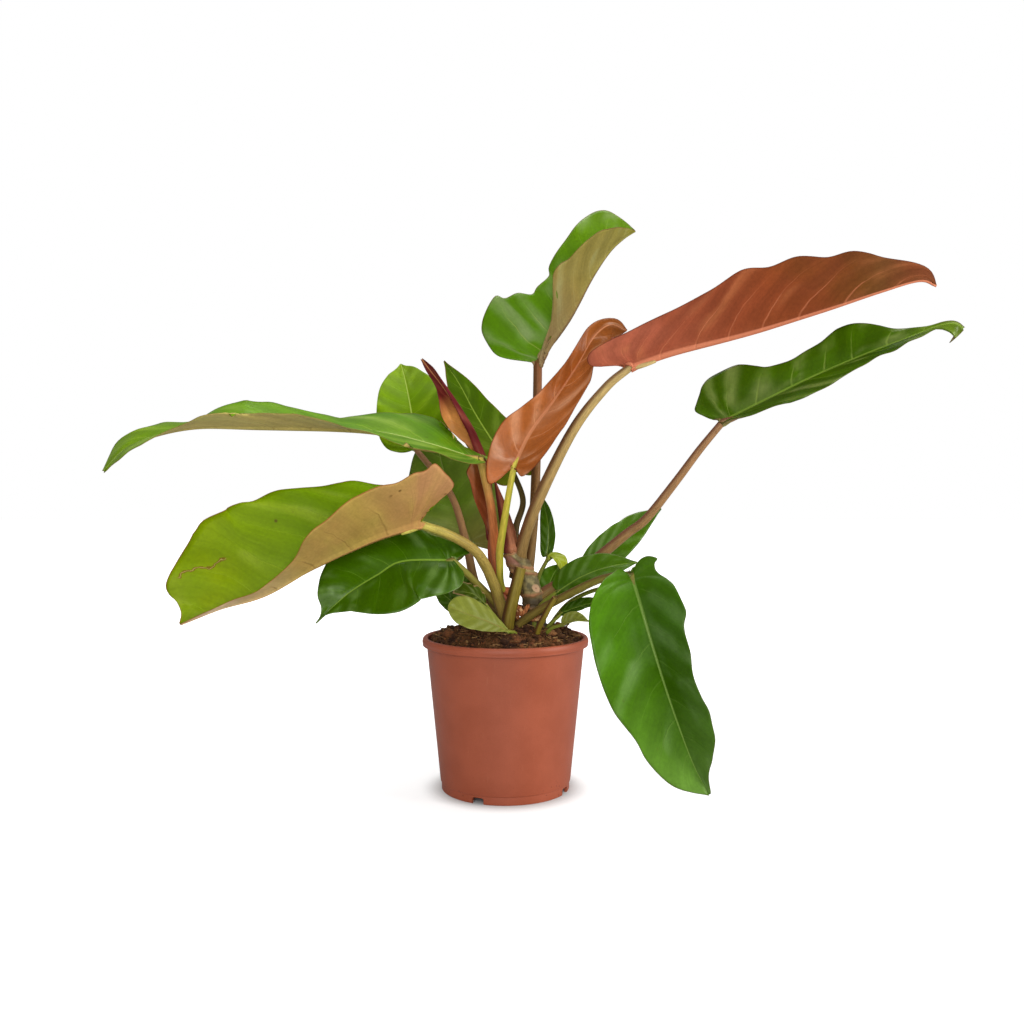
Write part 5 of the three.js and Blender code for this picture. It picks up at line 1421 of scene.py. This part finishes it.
shootSettings = {
    "sheath": {
        "route": [[4.5, -5.5, 199], [3, -6, 212], [-1.5, -6, 231], [-6, -4, 248], [-9.5, -2, 261]],
        "radius": [6.2, 5.9, 4.4, 2.6, 0.35],
        "ridges": 9,
        # the darker tone on the left of the sheath is painted shade, away from the light
        "skin": {
            "colors": ["#a06848", "#8c5436", "#84482c", "#783a26", "#8c4430"], "darkSide": "#5c1c20",
            "fleck": "#9c5c40", "toward": [-1, -0.2, 0], "darkSideAmount": 0.9,
        },
    },
    "collar": {"level": 0.05, "width": 0.05, "stand": 0.24},  # shares of the sheath's length, of its radius
    "stubs": {
        "cut_stub_left": {
            "route": [[4, -20, 116], [2, -23, 140], [7, -21, 164], [12.5, -18.5, 187]],
            "radius": [5.2, 5.3, 5, 4.6],
        },
        "cut_stub_right": {
            "route": [[24, -31, 114], [26, -34, 136], [33, -38, 152], [40, -41, 165]],
            "radius": [2.6, 2.6, 2.3],
        },
    },
    # the darker tone on the left of the stubs is painted shade, away from the light
    "stubSkin": {
        "colors": ["#6c5e1c", "#74641c", "#7c6c22", "#807028"], "darkSide": "#50301c", "fleck": "#8c7c40",
        "toward": [-1, 0.1, 0], "darkSideAmount": 0.95,
    },
    "cut": {"rings": 12, "sides": 48, "rim": 0.35, "sink": 0.9, "depth": 0.4},
    "cutLook": {
        "dry": ["#b08a58", "#7c5430"], "pit": "#4c3018", "patchScale": 500, "pitScale": 1700.0,
        "pitAmount": 0.6, "bump": [0.6, 0.0003],
    },
}


def cutMaterial():
    look = shootSettings["cutLook"]
    material, tree, shader = startMaterial("driedCut", 0.75, 0.3)
    place = objectPlace(tree)
    patch = between(tree, noiseAt(tree, place, look["patchScale"], 4), 0.35, 0.65)
    pits = cellsAt(tree, place, look["pitScale"])
    color = blendColors(tree, patch, *map(fromHex, look["dry"]))
    color = layOver(tree, color, look["pit"], between(tree, pits, 0.1, 0.35, 1, 0), look["pitAmount"])
    setSurface(tree, shader, color, pits, *look["bump"])
    return material


def buildSheath():
    sheath, collar = shootSettings["sheath"], shootSettings["collar"]
    share = np.linspace(0, 1, 150)
    points = alongRoute(makeRoute(sheath["route"]), share)

    def ridged(share, angle):
        ribs = 0.05 * np.cos(sheath["ridges"] * angle + 2.5 * share) * (1 - share)
        seam = 0.16 * bell(((angle - 2.2 + 1.2 * share) % (2 * np.pi)) / 0.35)
        band = collar["stand"] * bell((share - collar["level"]) / collar["width"])
        return 1 + ribs + seam + band * (1 + 0.3 * np.cos(3 * angle))

    skin, faces, maps = tubeMesh(
        points, valueAlong(sheath["radius"], share), 72, [0, -1, 0], sheath["skin"]["toward"], ridged
    )
    material = stalkMaterial("sheathSkin", sheath["skin"])
    makeMesh("cataphyll_sheath", skin, faces, material, nodeSlots["cataphyll"], ["cataphyll"], maps)


def buildStubs():
    finish = shootSettings["stubSkin"]
    stubSkin, cut = stalkMaterial("stubSkin", finish), cutMaterial()
    share = np.linspace(0, 1, 90)

    def wrinkled(share, angle):
        return 1 + 0.03 * np.cos(5 * angle + 3 * share) + 0.05 * bell((share - 1) / 0.02)

    for k, (node, stub) in enumerate(shootSettings["stubs"].items()):
        points = alongRoute(makeRoute(stub["route"]), share)
        radii = valueAlong(stub["radius"], share) + 0.15 * softNoise(points, 12, k)
        skin, faces, maps = tubeMesh(points, radii, 48, [0, -1, 0], finish["toward"], wrinkled)
        makeMesh(node + "_fine", skin, faces, stubSkin, nodeSlots[node], [node], maps)
        face = cutFace(points[-1], unit(points[-1] - points[-3]), radii[-1], k)
        makeMesh(node + "_cut_face", *face, cut, nodeSlots[node])


def cutFace(centre, heading, radius, seed):  # the dried end, sunk in the middle
    cut = shootSettings["cut"]
    rings, sides = cut["rings"], cut["sides"]
    up = unit(np.cross(heading, [1, 0, 0]))
    share = np.linspace(1, 0.04, rings)[:, None]
    radial = spokes(anglesRound(sides), up[None], np.cross(heading, up)[None])
    flat = centre + radial * (share * radius * 1.02)[..., None]
    sunk = cut["rim"] - cut["sink"] * (1 - smoothStep(0.55, 0.95, share)) + 0.25 * softNoise(flat, 1.1, seed)
    top = (flat + heading * sunk[..., None]).reshape(-1, 3)
    bottom = (flat - heading * cut["depth"]).reshape(-1, 3)
    count = rings * sides
    faces = gridFaces(rings, sides, closed=True) + gridFaces(rings, sides, count, closed=True, flip=True)
    faces += [[j, count + j, count + (j + 1) % sides, (j + 1) % sides] for j in range(sides)]
    faces += fanFaces(sides, count - sides, 2 * count)
    faces += fanFaces(sides, 2 * count - sides, 2 * count + 1, flip=True)
    return np.vstack([top, bottom, top[-sides:].mean(0), bottom[-sides:].mean(0)]), faces


buildSheath()
buildStubs()
print("sheath and stubs made")


flakeSettings = {
    "seed": 5,
    "thickness": 0.28,
    "rows": 26,
    "columns": 14,
    # middle, half length, half width, heading, facing
    "flakes": [
        [[13, -15, 150], 7.5, 2.6, [-0.6, -0.1, 0.75], [-0.2, -1, 0.2]],
        [[19, -14.5, 147], 8, 2.8, [0.9, -0.2, 0.25], [0.1, -1, 0.5]],
        [[9, -16.5, 148], 6.5, 2.2, [-0.3, -0.2, 0.9], [-0.3, -1, 0.1]],
        [[26, -14, 145], 6, 2.4, [0.95, 0.1, 0.2], [0.2, -0.9, 0.6]],
        [[17, -14.5, 152], 5, 1.8, [0.5, 0, 0.8], [0.1, -1, 0.1]],
        [[23, -14, 150], 4.5, 1.8, [0.9, 0, 0.4], [0.4, -1, 0.1]],
        [[30, -8, 146], 6, 3, [0.8, 0.3, 0.3], [0.6, -0.6, 0.6]],
        [[6, -10, 146], 6, 3, [-0.7, 0.1, 0.5], [-0.6, -0.6, 0.5]],
    ],
    "look": {
        "fibres": ["#bc7444", "#744020"], "pale": "#c89c6c", "fibreScale": 700, "fibreRise": 0.2,
        "paleScale": 170, "bump": [0.7, 0.0003],
    },
}


def flakeMaterial():
    look = flakeSettings["look"]
    material, tree, shader = startMaterial("paperyScrap", 0.8, 0.25)
    place = objectPlace(tree)
    fibres = noiseAt(tree, stretched(tree, place, look["fibreRise"]), look["fibreScale"], 4)
    fibres = between(tree, fibres, 0.3, 0.7)
    pale = between(tree, noiseAt(tree, place, look["paleScale"], 2), 0.52, 0.62)
    color = blendColors(tree, fibres, *map(fromHex, look["fibres"]))
    color = layOver(tree, color, look["pale"], pale)
    setSurface(tree, shader, color, fibres, *look["bump"])
    return material


def buildFlakes():  # papery scraps of old sheaths at the foot of the stem
    random = np.random.default_rng(flakeSettings["seed"])
    rows, columns, half = flakeSettings["rows"], flakeSettings["columns"], flakeSettings["thickness"] / 2
    s, c = np.meshgrid(np.linspace(-1, 1, rows), np.linspace(-1, 1, columns), indexing="ij")
    flakes = []
    for k, (middle, halfLength, halfWidth, heading, facing) in enumerate(flakeSettings["flakes"]):
        heading = unit(np.array(heading, float))
        facing = squared(np.array(facing, float), heading)
        ragged = 1 + 0.25 * softNoise(np.stack([s * 6, s * 0, s * 0 + k], -1), 1.2, k)
        width = halfWidth * np.sqrt(np.clip(1 - np.abs(s) ** 2.4, 0.01, 1)) * ragged
        bow = halfWidth * random.uniform(0.5, 0.9) * (0.4 - c**2)
        bow = bow - halfLength * 0.22 * s**2 * random.uniform(0.4, 1.2)
        sheet = np.array(middle) + heading * (s * halfLength)[..., None]
        sheet = sheet + np.cross(heading, facing) * (c * width)[..., None] + facing * bow[..., None]
        sheet = sheet + facing * (0.5 * softNoise(sheet, 2.2, k + 20))[..., None]
        normals = sheetNormals(sheet)
        both = np.concatenate([sheet + normals * half, sheet - normals * half])
        flakes.append([both.reshape(-1, 3), slabFaces(rows, columns)])
    makeMesh("papery_scraps", *joinParts(flakes), flakeMaterial(), nodeSlots["stem"])


buildFlakes()
print("papery scraps made")


soilSettings = {
    "edgeHeight": 124.0,
    "crownHeight": 137.5,
    "flatness": 0.5,
    "edgeRadius": 63.6,
    "floorRadius": 52.2,
    "floorHeight": 7.9,
    "rings": 90,
    "sectors": 300,
    "seed": 11,
    "roughness": [[2.2, 17, 1], [1.3, 7, 2], [0.8, 3.2, 3], [0.4, 1.5, 4]],  # height, pitch, seed
    # how many crumbs, smallest and largest radius
    "crumbs": [[1700, 0.5, 1.3], [420, 1.3, 2.1], [50, 2.1, 3.4]],
    "fineAbove": 1.5,  # crumbs of a larger radius have more faces
    "crumbStretch": [0.65, 1.3],
    "reddishShare": 0.3,
    "fibrousShare": 0.1,
    "twigs": 190,
    "twigLength": [4, 15],
    "twigRadius": [0.25, 0.7],
    # lumps that the photograph shows: place, radius
    "lumps": [
        [[37, -27, 134], 4.5], [[45, -30, 132], 4], [[41, -22, 136], 3.6], [[-20, -38, 131], 3.2],
        [[-46, -28, 134], 4.2], [[-51, -19, 131], 3.8], [[-42, -34, 132], 3.4],
    ],
    "look": {
        "mix": ["#341c0e", "#64401f"], "reddish": "#7c4a2a", "fibrous": "#a07a4c", "patchScale": 90,
        "grainScale": 1400, "grainTones": [0.55, 1.35], "bump": [0.9, 0.0008],
    },
}


def soilHeight(x, y):
    inward = np.clip(1 - (x * x + y * y) / soilSettings["edgeRadius"] ** 2, 0, 1)
    flat = np.stack([x, y, np.zeros_like(x)], -1)
    rough = sum(rise * softNoise(flat, pitch, seed) for rise, pitch, seed in soilSettings["roughness"])
    crown = (soilSettings["crownHeight"] - soilSettings["edgeHeight"]) * inward ** soilSettings["flatness"]
    return soilSettings["edgeHeight"] + crown + rough * np.minimum(1, 0.35 + 3 * inward)


def soilMaterial():  # crumbTone says how reddish and how fibrous a crumb is
    look = soilSettings["look"]
    material, tree, shader = startMaterial("darkMix", 0.92, 0.25)
    tones = splitVector(tree, storedVector(tree, "crumbTone"))
    place = objectPlace(tree)
    patch = between(tree, noiseAt(tree, place, look["patchScale"], 4, 0.65), 0.35, 0.65)
    color = blendColors(tree, patch, *map(fromHex, look["mix"]))
    color = layOver(tree, color, look["reddish"], tones["X"])
    color = layOver(tree, color, look["fibrous"], tones["Y"])
    grain = noiseAt(tree, place, look["grainScale"], 4, 0.65)
    color = shadeBy(tree, color, grain, look["grainTones"])
    setSurface(tree, shader, color, grain, *look["bump"], between(tree, grain, 0.3, 0.7, 0.8, 0.98))
    return material


def ballShape(subdivisions):
    ball = bmesh.new()
    bmesh.ops.create_icosphere(ball, subdivisions=subdivisions, radius=1)
    shape = np.array([v.co for v in ball.verts]), [[v.index for v in f.verts] for f in ball.faces]
    ball.free()
    return shape


def buildBed(material):
    rings, sectors = soilSettings["rings"], soilSettings["sectors"]
    angle = anglesRound(sectors)[None, :]
    reach = soilSettings["edgeRadius"] * np.linspace(1, 0.01, rings)[:, None]
    x, y = reach * np.cos(angle), reach * np.sin(angle)
    top = np.stack([x, y, soilHeight(x, y)], -1)
    low, floor = soilSettings["floorRadius"], soilSettings["floorHeight"]
    foot = np.stack([low * np.cos(angle), low * np.sin(angle), np.full_like(angle, floor)], -1)
    last = rings * sectors
    count = last + sectors
    faces = gridFaces(rings + 1, sectors, closed=True)
    faces += fanFaces(sectors, last, count) + fanFaces(sectors, 0, count + 1, flip=True)
    skin = np.concatenate([foot, top]).reshape(-1, 3)
    skin = np.vstack([skin, [0, 0, soilHeight(0.0, 0.0)], [0, 0, floor]])
    tones = np.zeros_like(skin)
    tones[:, 0] = smoothStep(0.25, 0.7, softNoise(skin, 11, 6))
    makeMesh("mix_bed", skin, faces, material, nodeSlots["soil"], ["soil"], {"crumbTone": tones})


def buildCrumbs(material, random):
    edge = soilSettings["edgeRadius"]
    places = []
    for count, small, large in soilSettings["crumbs"]:
        for _ in range(count):
            away = edge * np.sqrt(random.uniform(0, 0.985))
            turn = random.uniform(0, 2 * np.pi)
            size = random.uniform(small, large)
            away = min(away, edge - size * 0.9)
            x, y = away * np.cos(turn), away * np.sin(turn)
            places.append([[x, y, soilHeight(x, y) + size * random.uniform(-0.1, 0.45)], size])
    coarse, fine = ballShape(1), ballShape(2)
    crumbs, tones = [], []
    for k, (place, size) in enumerate(places + soilSettings["lumps"]):
        shape, sides = fine if size > soilSettings["fineAbove"] else coarse
        turned = shape * (random.uniform(*soilSettings["crumbStretch"], 3) * [1, 1, 0.85])
        bumpy = 1 + 0.3 * softNoise(turned * 1.3 + k * 7.3, 0.8, 12)
        bumpy = bumpy + 0.15 * softNoise(turned * 3 + k, 0.8, 13)
        crumbs.append([np.array(place) + turned * size * bumpy[:, None], sides])
        isReddish = random.uniform() < soilSettings["reddishShare"]
        isFibrous = random.uniform() < soilSettings["fibrousShare"]
        reddish = random.uniform(0.3, 1) if isReddish else 0.0
        fibrous = random.uniform(0.3, 0.8) if isFibrous else 0.0
        tones.append(np.tile([reddish, fibrous, 0.0], (len(shape), 1)))
    maps = {"crumbTone": np.vstack(tones)}
    makeMesh("mix_crumbs", *joinParts(crumbs), material, nodeSlots["soil"], (), maps)


def buildTwigs(material, random):
    edge = soilSettings["edgeRadius"]
    s = np.linspace(-0.5, 0.5, 9)[:, None]
    twigs, tones = [], []
    for _ in range(soilSettings["twigs"]):
        away = edge * 0.93 * np.sqrt(random.uniform(0, 1))
        turn = random.uniform(0, 2 * np.pi)
        heading = unit(np.array([random.normal(), random.normal(), random.uniform(-0.15, 0.25)]))
        length = random.uniform(*soilSettings["twigLength"])
        line = np.array([away * np.cos(turn), away * np.sin(turn), 0.0]) + heading * s * length
        line[:, :2] += (s**2 * random.uniform(-0.5, 0.5) * length) * [heading[1], -heading[0]]
        line[:, :2] *= np.minimum(1, (edge - 0.8) / np.hypot(line[:, 0], line[:, 1]))[:, None]
        line[:, 2] = soilHeight(line[:, 0], line[:, 1]).mean() + 1.0 + heading[2] * s[:, 0] * length
        thin = random.uniform(*soilSettings["twigRadius"]) * np.linspace(1, 0.6, 9)
        twigs.append(tubeMesh(line, thin, 6, [0, 0, 1])[:2])
        tone = [random.uniform(0, 0.5), random.uniform(0.2, 1), 0.0]
        tones.append(np.tile(tone, (len(twigs[-1][0]), 1)))
    maps = {"crumbTone": np.vstack(tones)}
    makeMesh("mix_twigs", *joinParts(twigs), material, nodeSlots["soil"], (), maps)


mixLook = soilMaterial()
mixDraws = np.random.default_rng(soilSettings["seed"])
buildBed(mixLook)
buildCrumbs(mixLook, mixDraws)
buildTwigs(mixLook, mixDraws)
print("potting mix made")


potSettings = {
    "height": 128,
    "rimRadius": 70,
    "lipDrop": 6.8,
    "lipThickness": 1.3,
    "neckRadius": 66.8,
    "footRadius": 54.9,
    "wall": 1.5,
    "floorUnderside": 6,
    "floorTop": 7.6,
    "stepHeight": 7.4,
    "ringInset": 1,
    "ringWidth": 2.3,
    "rounds": {
        "small": 0.5, "toe": 0.7, "step": 0.35, "lipFoot": 0.55, "lipBulge": 5.5, "rim": 1.5, "mouth": 1.4,
    },
    "sides": 240,
    "sharpAngle": 42,
    "notches": {"count": 4, "firstAngle": 66, "width": 10, "height": 5.2, "depth": 14, "corner": 1.6},
    "drains": {"count": 8, "radius": 4, "circle": 36, "low": 2, "high": 12, "sides": 32},
    "look": {
        "plastic": ["#9c4c30", "#a45236"], "speck": "#5c2c1c", "dust": "#b87050",
        "patchScale": 28, "grainScale": 2200, "grainTones": [0.9, 1.1],
        "scuffScale": 260, "scuffRise": 0.12, "scuffAmount": 0.25,
        "speckScale": 210.0, "speckPatchScale": 60, "speckAmount": 0.8,
        "specksFade": [0.004, 0.022],  # metres above the floor
        "bump": [0.35, 0.0002],
    },
}


def potMaterial():
    look = potSettings["look"]
    material, tree, shader = startMaterial("terracottaPlastic", 0.5, 0.4)
    place = objectPlace(tree)
    patch = between(tree, noiseAt(tree, place, look["patchScale"], 4), 0.35, 0.65)
    grain = noiseAt(tree, place, look["grainScale"], 3, 0.6)
    scuffs = noiseAt(tree, stretched(tree, place, look["scuffRise"]), look["scuffScale"], 4, 0.7)
    color = blendColors(tree, patch, *map(fromHex, look["plastic"]))
    color = shadeBy(tree, color, grain, look["grainTones"])
    color = layOver(tree, color, look["dust"], between(tree, scuffs, 0.6, 0.75), look["scuffAmount"])
    nearFoot = between(tree, splitVector(tree, place)["Z"], *look["specksFade"], 1.0, 0.12)
    some = between(tree, noiseAt(tree, place, look["speckPatchScale"], 2), 0.42, 0.56)
    specks = between(tree, cellsAt(tree, place, look["speckScale"]), 0.08, 0.16, 1, 0)
    specks = times(tree, specks, times(tree, nearFoot, some))
    color = layOver(tree, color, look["speck"], specks, look["speckAmount"])
    rough = between(tree, grain, 0.25, 0.75, 0.42, 0.56, False)
    setSurface(tree, shader, color, grain, *look["bump"], rough)
    return material


def arcPoints(middle, radius, start, end, count=6):
    turns = np.radians(np.linspace(start, end, count))
    return [[middle[0] + radius * math.cos(t), middle[1] + radius * math.sin(t)] for t in turns]


def potSection():  # distance from the axis and height, from under the floor round to its upper face
    p, r = potSettings, potSettings["rounds"]
    top, rim, lip, neck, foot, step = (
        p[name] for name in ("height", "rimRadius", "lipThickness", "neckRadius", "footRadius", "stepHeight")
    )
    ring, mouth, inside = foot - p["ringInset"], neck - p["wall"], foot - p["wall"]
    section = [[0.5, p["floorUnderside"]], [ring - p["ringWidth"] - 1.2, p["floorUnderside"]]]
    section += arcPoints([ring - p["ringWidth"] + r["small"], r["small"]], r["small"], 180, 270, 4)
    section += arcPoints([ring - r["toe"], r["toe"]], r["toe"], 270, 360)
    section += [[ring + 0.05, step - 1.2]]
    section += arcPoints([ring + r["step"], step - 0.6], r["step"], 180, 90, 4)
    section += arcPoints([foot - r["small"], step + 0.25], r["small"], 270, 360)
    wallFoot, wallTop = np.array([foot, step]), np.array([neck, top - lip - 0.6])
    section += (wallFoot + (wallTop - wallFoot) * np.linspace(0.03, 1, 40)[:, None]).tolist()
    section += arcPoints([neck + 0.6, top - lip - r["small"]], r["small"], 180, 90, 4)
    section += arcPoints([rim - lip - r["small"], top - lip - r["small"]], r["small"], 90, 0, 4)
    section += arcPoints([rim - lip / 2 - 0.1, top - p["lipDrop"] + r["lipFoot"]], r["lipFoot"], 180, 330, 8)
    section += arcPoints([rim - r["lipBulge"], top - p["lipDrop"] * 0.52], r["lipBulge"], -20, 20, 8)
    section += arcPoints([rim - 2.0, top - r["rim"]], r["rim"], 12, 90, 8)
    section += arcPoints([mouth + r["mouth"], top - r["mouth"]], r["mouth"], 90, 180, 6)
    innerFoot, innerTop = np.array([inside, p["floorTop"] + 1.2]), np.array([mouth, top - 3.2])
    section += (innerTop + (innerFoot - innerTop) * np.linspace(0, 1, 12)[:, None]).tolist()
    return section + [[inside - 1.4, p["floorTop"]], [0.5, p["floorTop"]]]


def buildPot():
    section, sides = np.array(potSection()), potSettings["sides"]
    x, y = (section[:, :1] * turn(anglesRound(sides)) for turn in (np.cos, np.sin))
    skin = np.stack([x, y, section[:, 1:] * np.ones(sides)], -1).reshape(-1, 3)
    count = len(skin)
    faces = gridFaces(len(section), sides, closed=True)
    faces += fanFaces(sides, 0, count, flip=True) + fanFaces(sides, count - sides, count + 1)
    skin = np.vstack([skin, [0, 0, section[0, 1]], [0, 0, section[-1, 1]]])
    pot = makeMesh("pot_shell", skin, faces, potMaterial(), nodeSlots["pot"], ["pot"])

    # the notches in the foot and the drain holes are cut out
    cutters = bmesh.new()
    notches, drains = potSettings["notches"], potSettings["drains"]
    for i in range(notches["count"]):
        addNotch(cutters, math.radians(notches["firstAngle"] + 360 * i / notches["count"]), notches)
    for i in range(drains["count"]):
        addDrain(cutters, 2 * math.pi * i / drains["count"], drains)
    mesh = bpy.data.meshes.new("notchCutter")
    cutters.to_mesh(mesh)
    cutters.free()
    cutter = addObject("notchCutter", mesh)
    boolean = pot.modifiers.new("notches", "BOOLEAN")
    boolean.object = cutter
    boolean.operation = "DIFFERENCE"
    boolean.solver = "EXACT"
    whole = bpy.data.meshes.new_from_object(pot.evaluated_get(bpy.context.evaluated_depsgraph_get()))
    pot.modifiers.clear()
    pot.data = whole
    bpy.data.objects.remove(cutter)
    whole.shade_smooth()
    whole.set_sharp_from_angle(angle=math.radians(potSettings["sharpAngle"]))


def addPrism(cutters, outline, low, high):  # outline as 3-D points, swept from low to high
    bottom, top = ([cutters.verts.new(toFrame(p + end).tolist()) for p in outline] for end in (low, high))
    walls = zip(bottom, bottom[1:] + bottom[:1], top[1:] + top[:1], top)
    sides = [cutters.faces.new(wall) for wall in walls]
    sides += [cutters.faces.new(bottom[::-1]), cutters.faces.new(top)]
    bmesh.ops.recalc_face_normals(cutters, faces=sides)


def addNotch(cutters, turn, notch):  # open below, with rounded top corners
    out = np.array([math.cos(turn), math.sin(turn), 0])
    side = np.array([-math.sin(turn), math.cos(turn), 0])
    half, height, corner = notch["width"] / 2, notch["height"], notch["corner"]
    outline = [[-half, -1], [half, -1]]
    outline += arcPoints([half - corner, height - corner], corner, 0, 90, 5)
    outline += arcPoints([-half + corner, height - corner], corner, 90, 180, 5)
    points = [side * a + np.array([0, 0, b]) for a, b in outline]
    foot, reach = potSettings["footRadius"], notch["depth"] / 2
    addPrism(cutters, points, out * (foot - reach), out * (foot + reach))


def addDrain(cutters, turn, drain):
    x, y = drain["circle"] * math.cos(turn), drain["circle"] * math.sin(turn)
    angles, radius = anglesRound(drain["sides"]), drain["radius"]
    points = [np.array([x + radius * math.cos(t), y + radius * math.sin(t), 0]) for t in angles]
    addPrism(cutters, points, np.array([0, 0, drain["low"]]), np.array([0, 0, drain["high"]]))


buildPot()
print("pot made")


cameraSettings = {
    "place": [5.5, -862, 258],
    "pitchDown": 1.68,  # degrees
    "lens": 36,
    "sensor": 36,
    "sees": [0.05, 50],  # nearest and farthest, in metres
}

lightSettings = {
    "keyLight": {"place": [1.75, -0.6, 0.75], "size": 0.9, "watts": 23, "color": [1, 0.98, 0.95]},
    "overheadLight": {"place": [-0.1, 0.15, 1.6], "size": 1.0, "watts": 12, "color": [1, 1, 1]},
    "fillLight": {"place": [-0.1, -1.8, 0.6], "size": 1.3, "watts": 19, "color": [1, 1, 1]},
}

studioSettings = {
    "backdrop": 1.0,  # brightness that the camera sees behind the plant
    "ambient": 0.33,  # brightness that lights the plant from all round
    "aimHeight": 230,
    "floor": "#c8c8c8",
    "floorSize": 12,
    "glow": [0.66, 1.2],  # near the pot, far from it
    "glowGrows": [0.15, 0.9],  # metres from the pot's middle
    # the floor doesn't glow under the pot and glows less just round its foot: a painted contact shadow
    "glowStarts": [0.045, 0.075],
}


def buildFloor():
    half = studioSettings["floorSize"] / 2
    mesh = bpy.data.meshes.new("studioFloor")
    corners = [(-half, -half, 0), (half, -half, 0), (half, half, 0), (-half, half, 0)]
    mesh.from_pydata(corners, [], [(0, 1, 2, 3)])
    material, tree, shader = startMaterial("paleFloor", 0.9, 0.1)
    inputs = {0: objectPlace(tree), 1: tuple(toFrame([0, 0, 0]))}
    reach = addNode(tree, "ShaderNodeVectorMath", {"operation": "DISTANCE"}, inputs).outputs["Value"]
    shader.inputs["Base Color"].default_value = fromHex(studioSettings["floor"])
    shader.inputs["Emission Color"].default_value = (1, 1, 1, 1)
    seen = addNode(tree, "ShaderNodeLightPath").outputs["Is Camera Ray"]
    glow = blendValues(tree, between(tree, reach, *studioSettings["glowGrows"]), *studioSettings["glow"])
    # no glow under the pot and less just round its foot: painted contact shadow
    glow = times(tree, times(tree, glow, seen), between(tree, reach, *studioSettings["glowStarts"]))
    tree.links.new(glow, shader.inputs["Emission Strength"])
    mesh.materials.append(material)
    addObject("studioFloor", mesh)


def buildWorld():
    world = bpy.data.worlds.new("studio")
    bpy.context.scene.world = world
    world.use_nodes = True
    tree = world.node_tree
    tree.nodes.clear()
    white = (1, 1, 1, 1)
    soft, seen = (
        addNode(tree, "ShaderNodeBackground", inputs={"Color": white, "Strength": studioSettings[part]})
        for part in ("ambient", "backdrop")
    )
    rays = addNode(tree, "ShaderNodeLightPath").outputs["Is Camera Ray"]
    mix = addNode(tree, "ShaderNodeMixShader", inputs={0: rays, 1: soft.outputs[0], 2: seen.outputs[0]})
    addNode(tree, "ShaderNodeOutputWorld", inputs={"Surface": mix.outputs[0]})


def buildLights():
    aim = Vector(toFrame([0, 0, studioSettings["aimHeight"]]))
    for name, light in lightSettings.items():
        data = bpy.data.lights.new(name, "AREA")
        data.shape = "DISK"
        data.size = light["size"]
        data.energy = light["watts"]
        data.color = light["color"]
        lamp = addObject(name, data)
        lamp.location = light["place"]
        lamp.rotation_euler = (aim - lamp.location).to_track_quat("-Z", "Y").to_euler()


def buildCamera():
    data = bpy.data.cameras.new("photoCamera")
    data.lens = cameraSettings["lens"]
    data.sensor_width = cameraSettings["sensor"]
    data.clip_start, data.clip_end = cameraSettings["sees"]
    camera = addObject("photoCamera", data)
    camera.location = toFrame(cameraSettings["place"])
    camera.rotation_euler = (math.radians(90 - cameraSettings["pitchDown"]), 0, 0)
    bpy.context.scene.camera = camera


buildFloor()
buildWorld()
buildLights()
buildCamera()
bpy.context.scene.view_settings.view_transform = "Standard"
print("studio made")
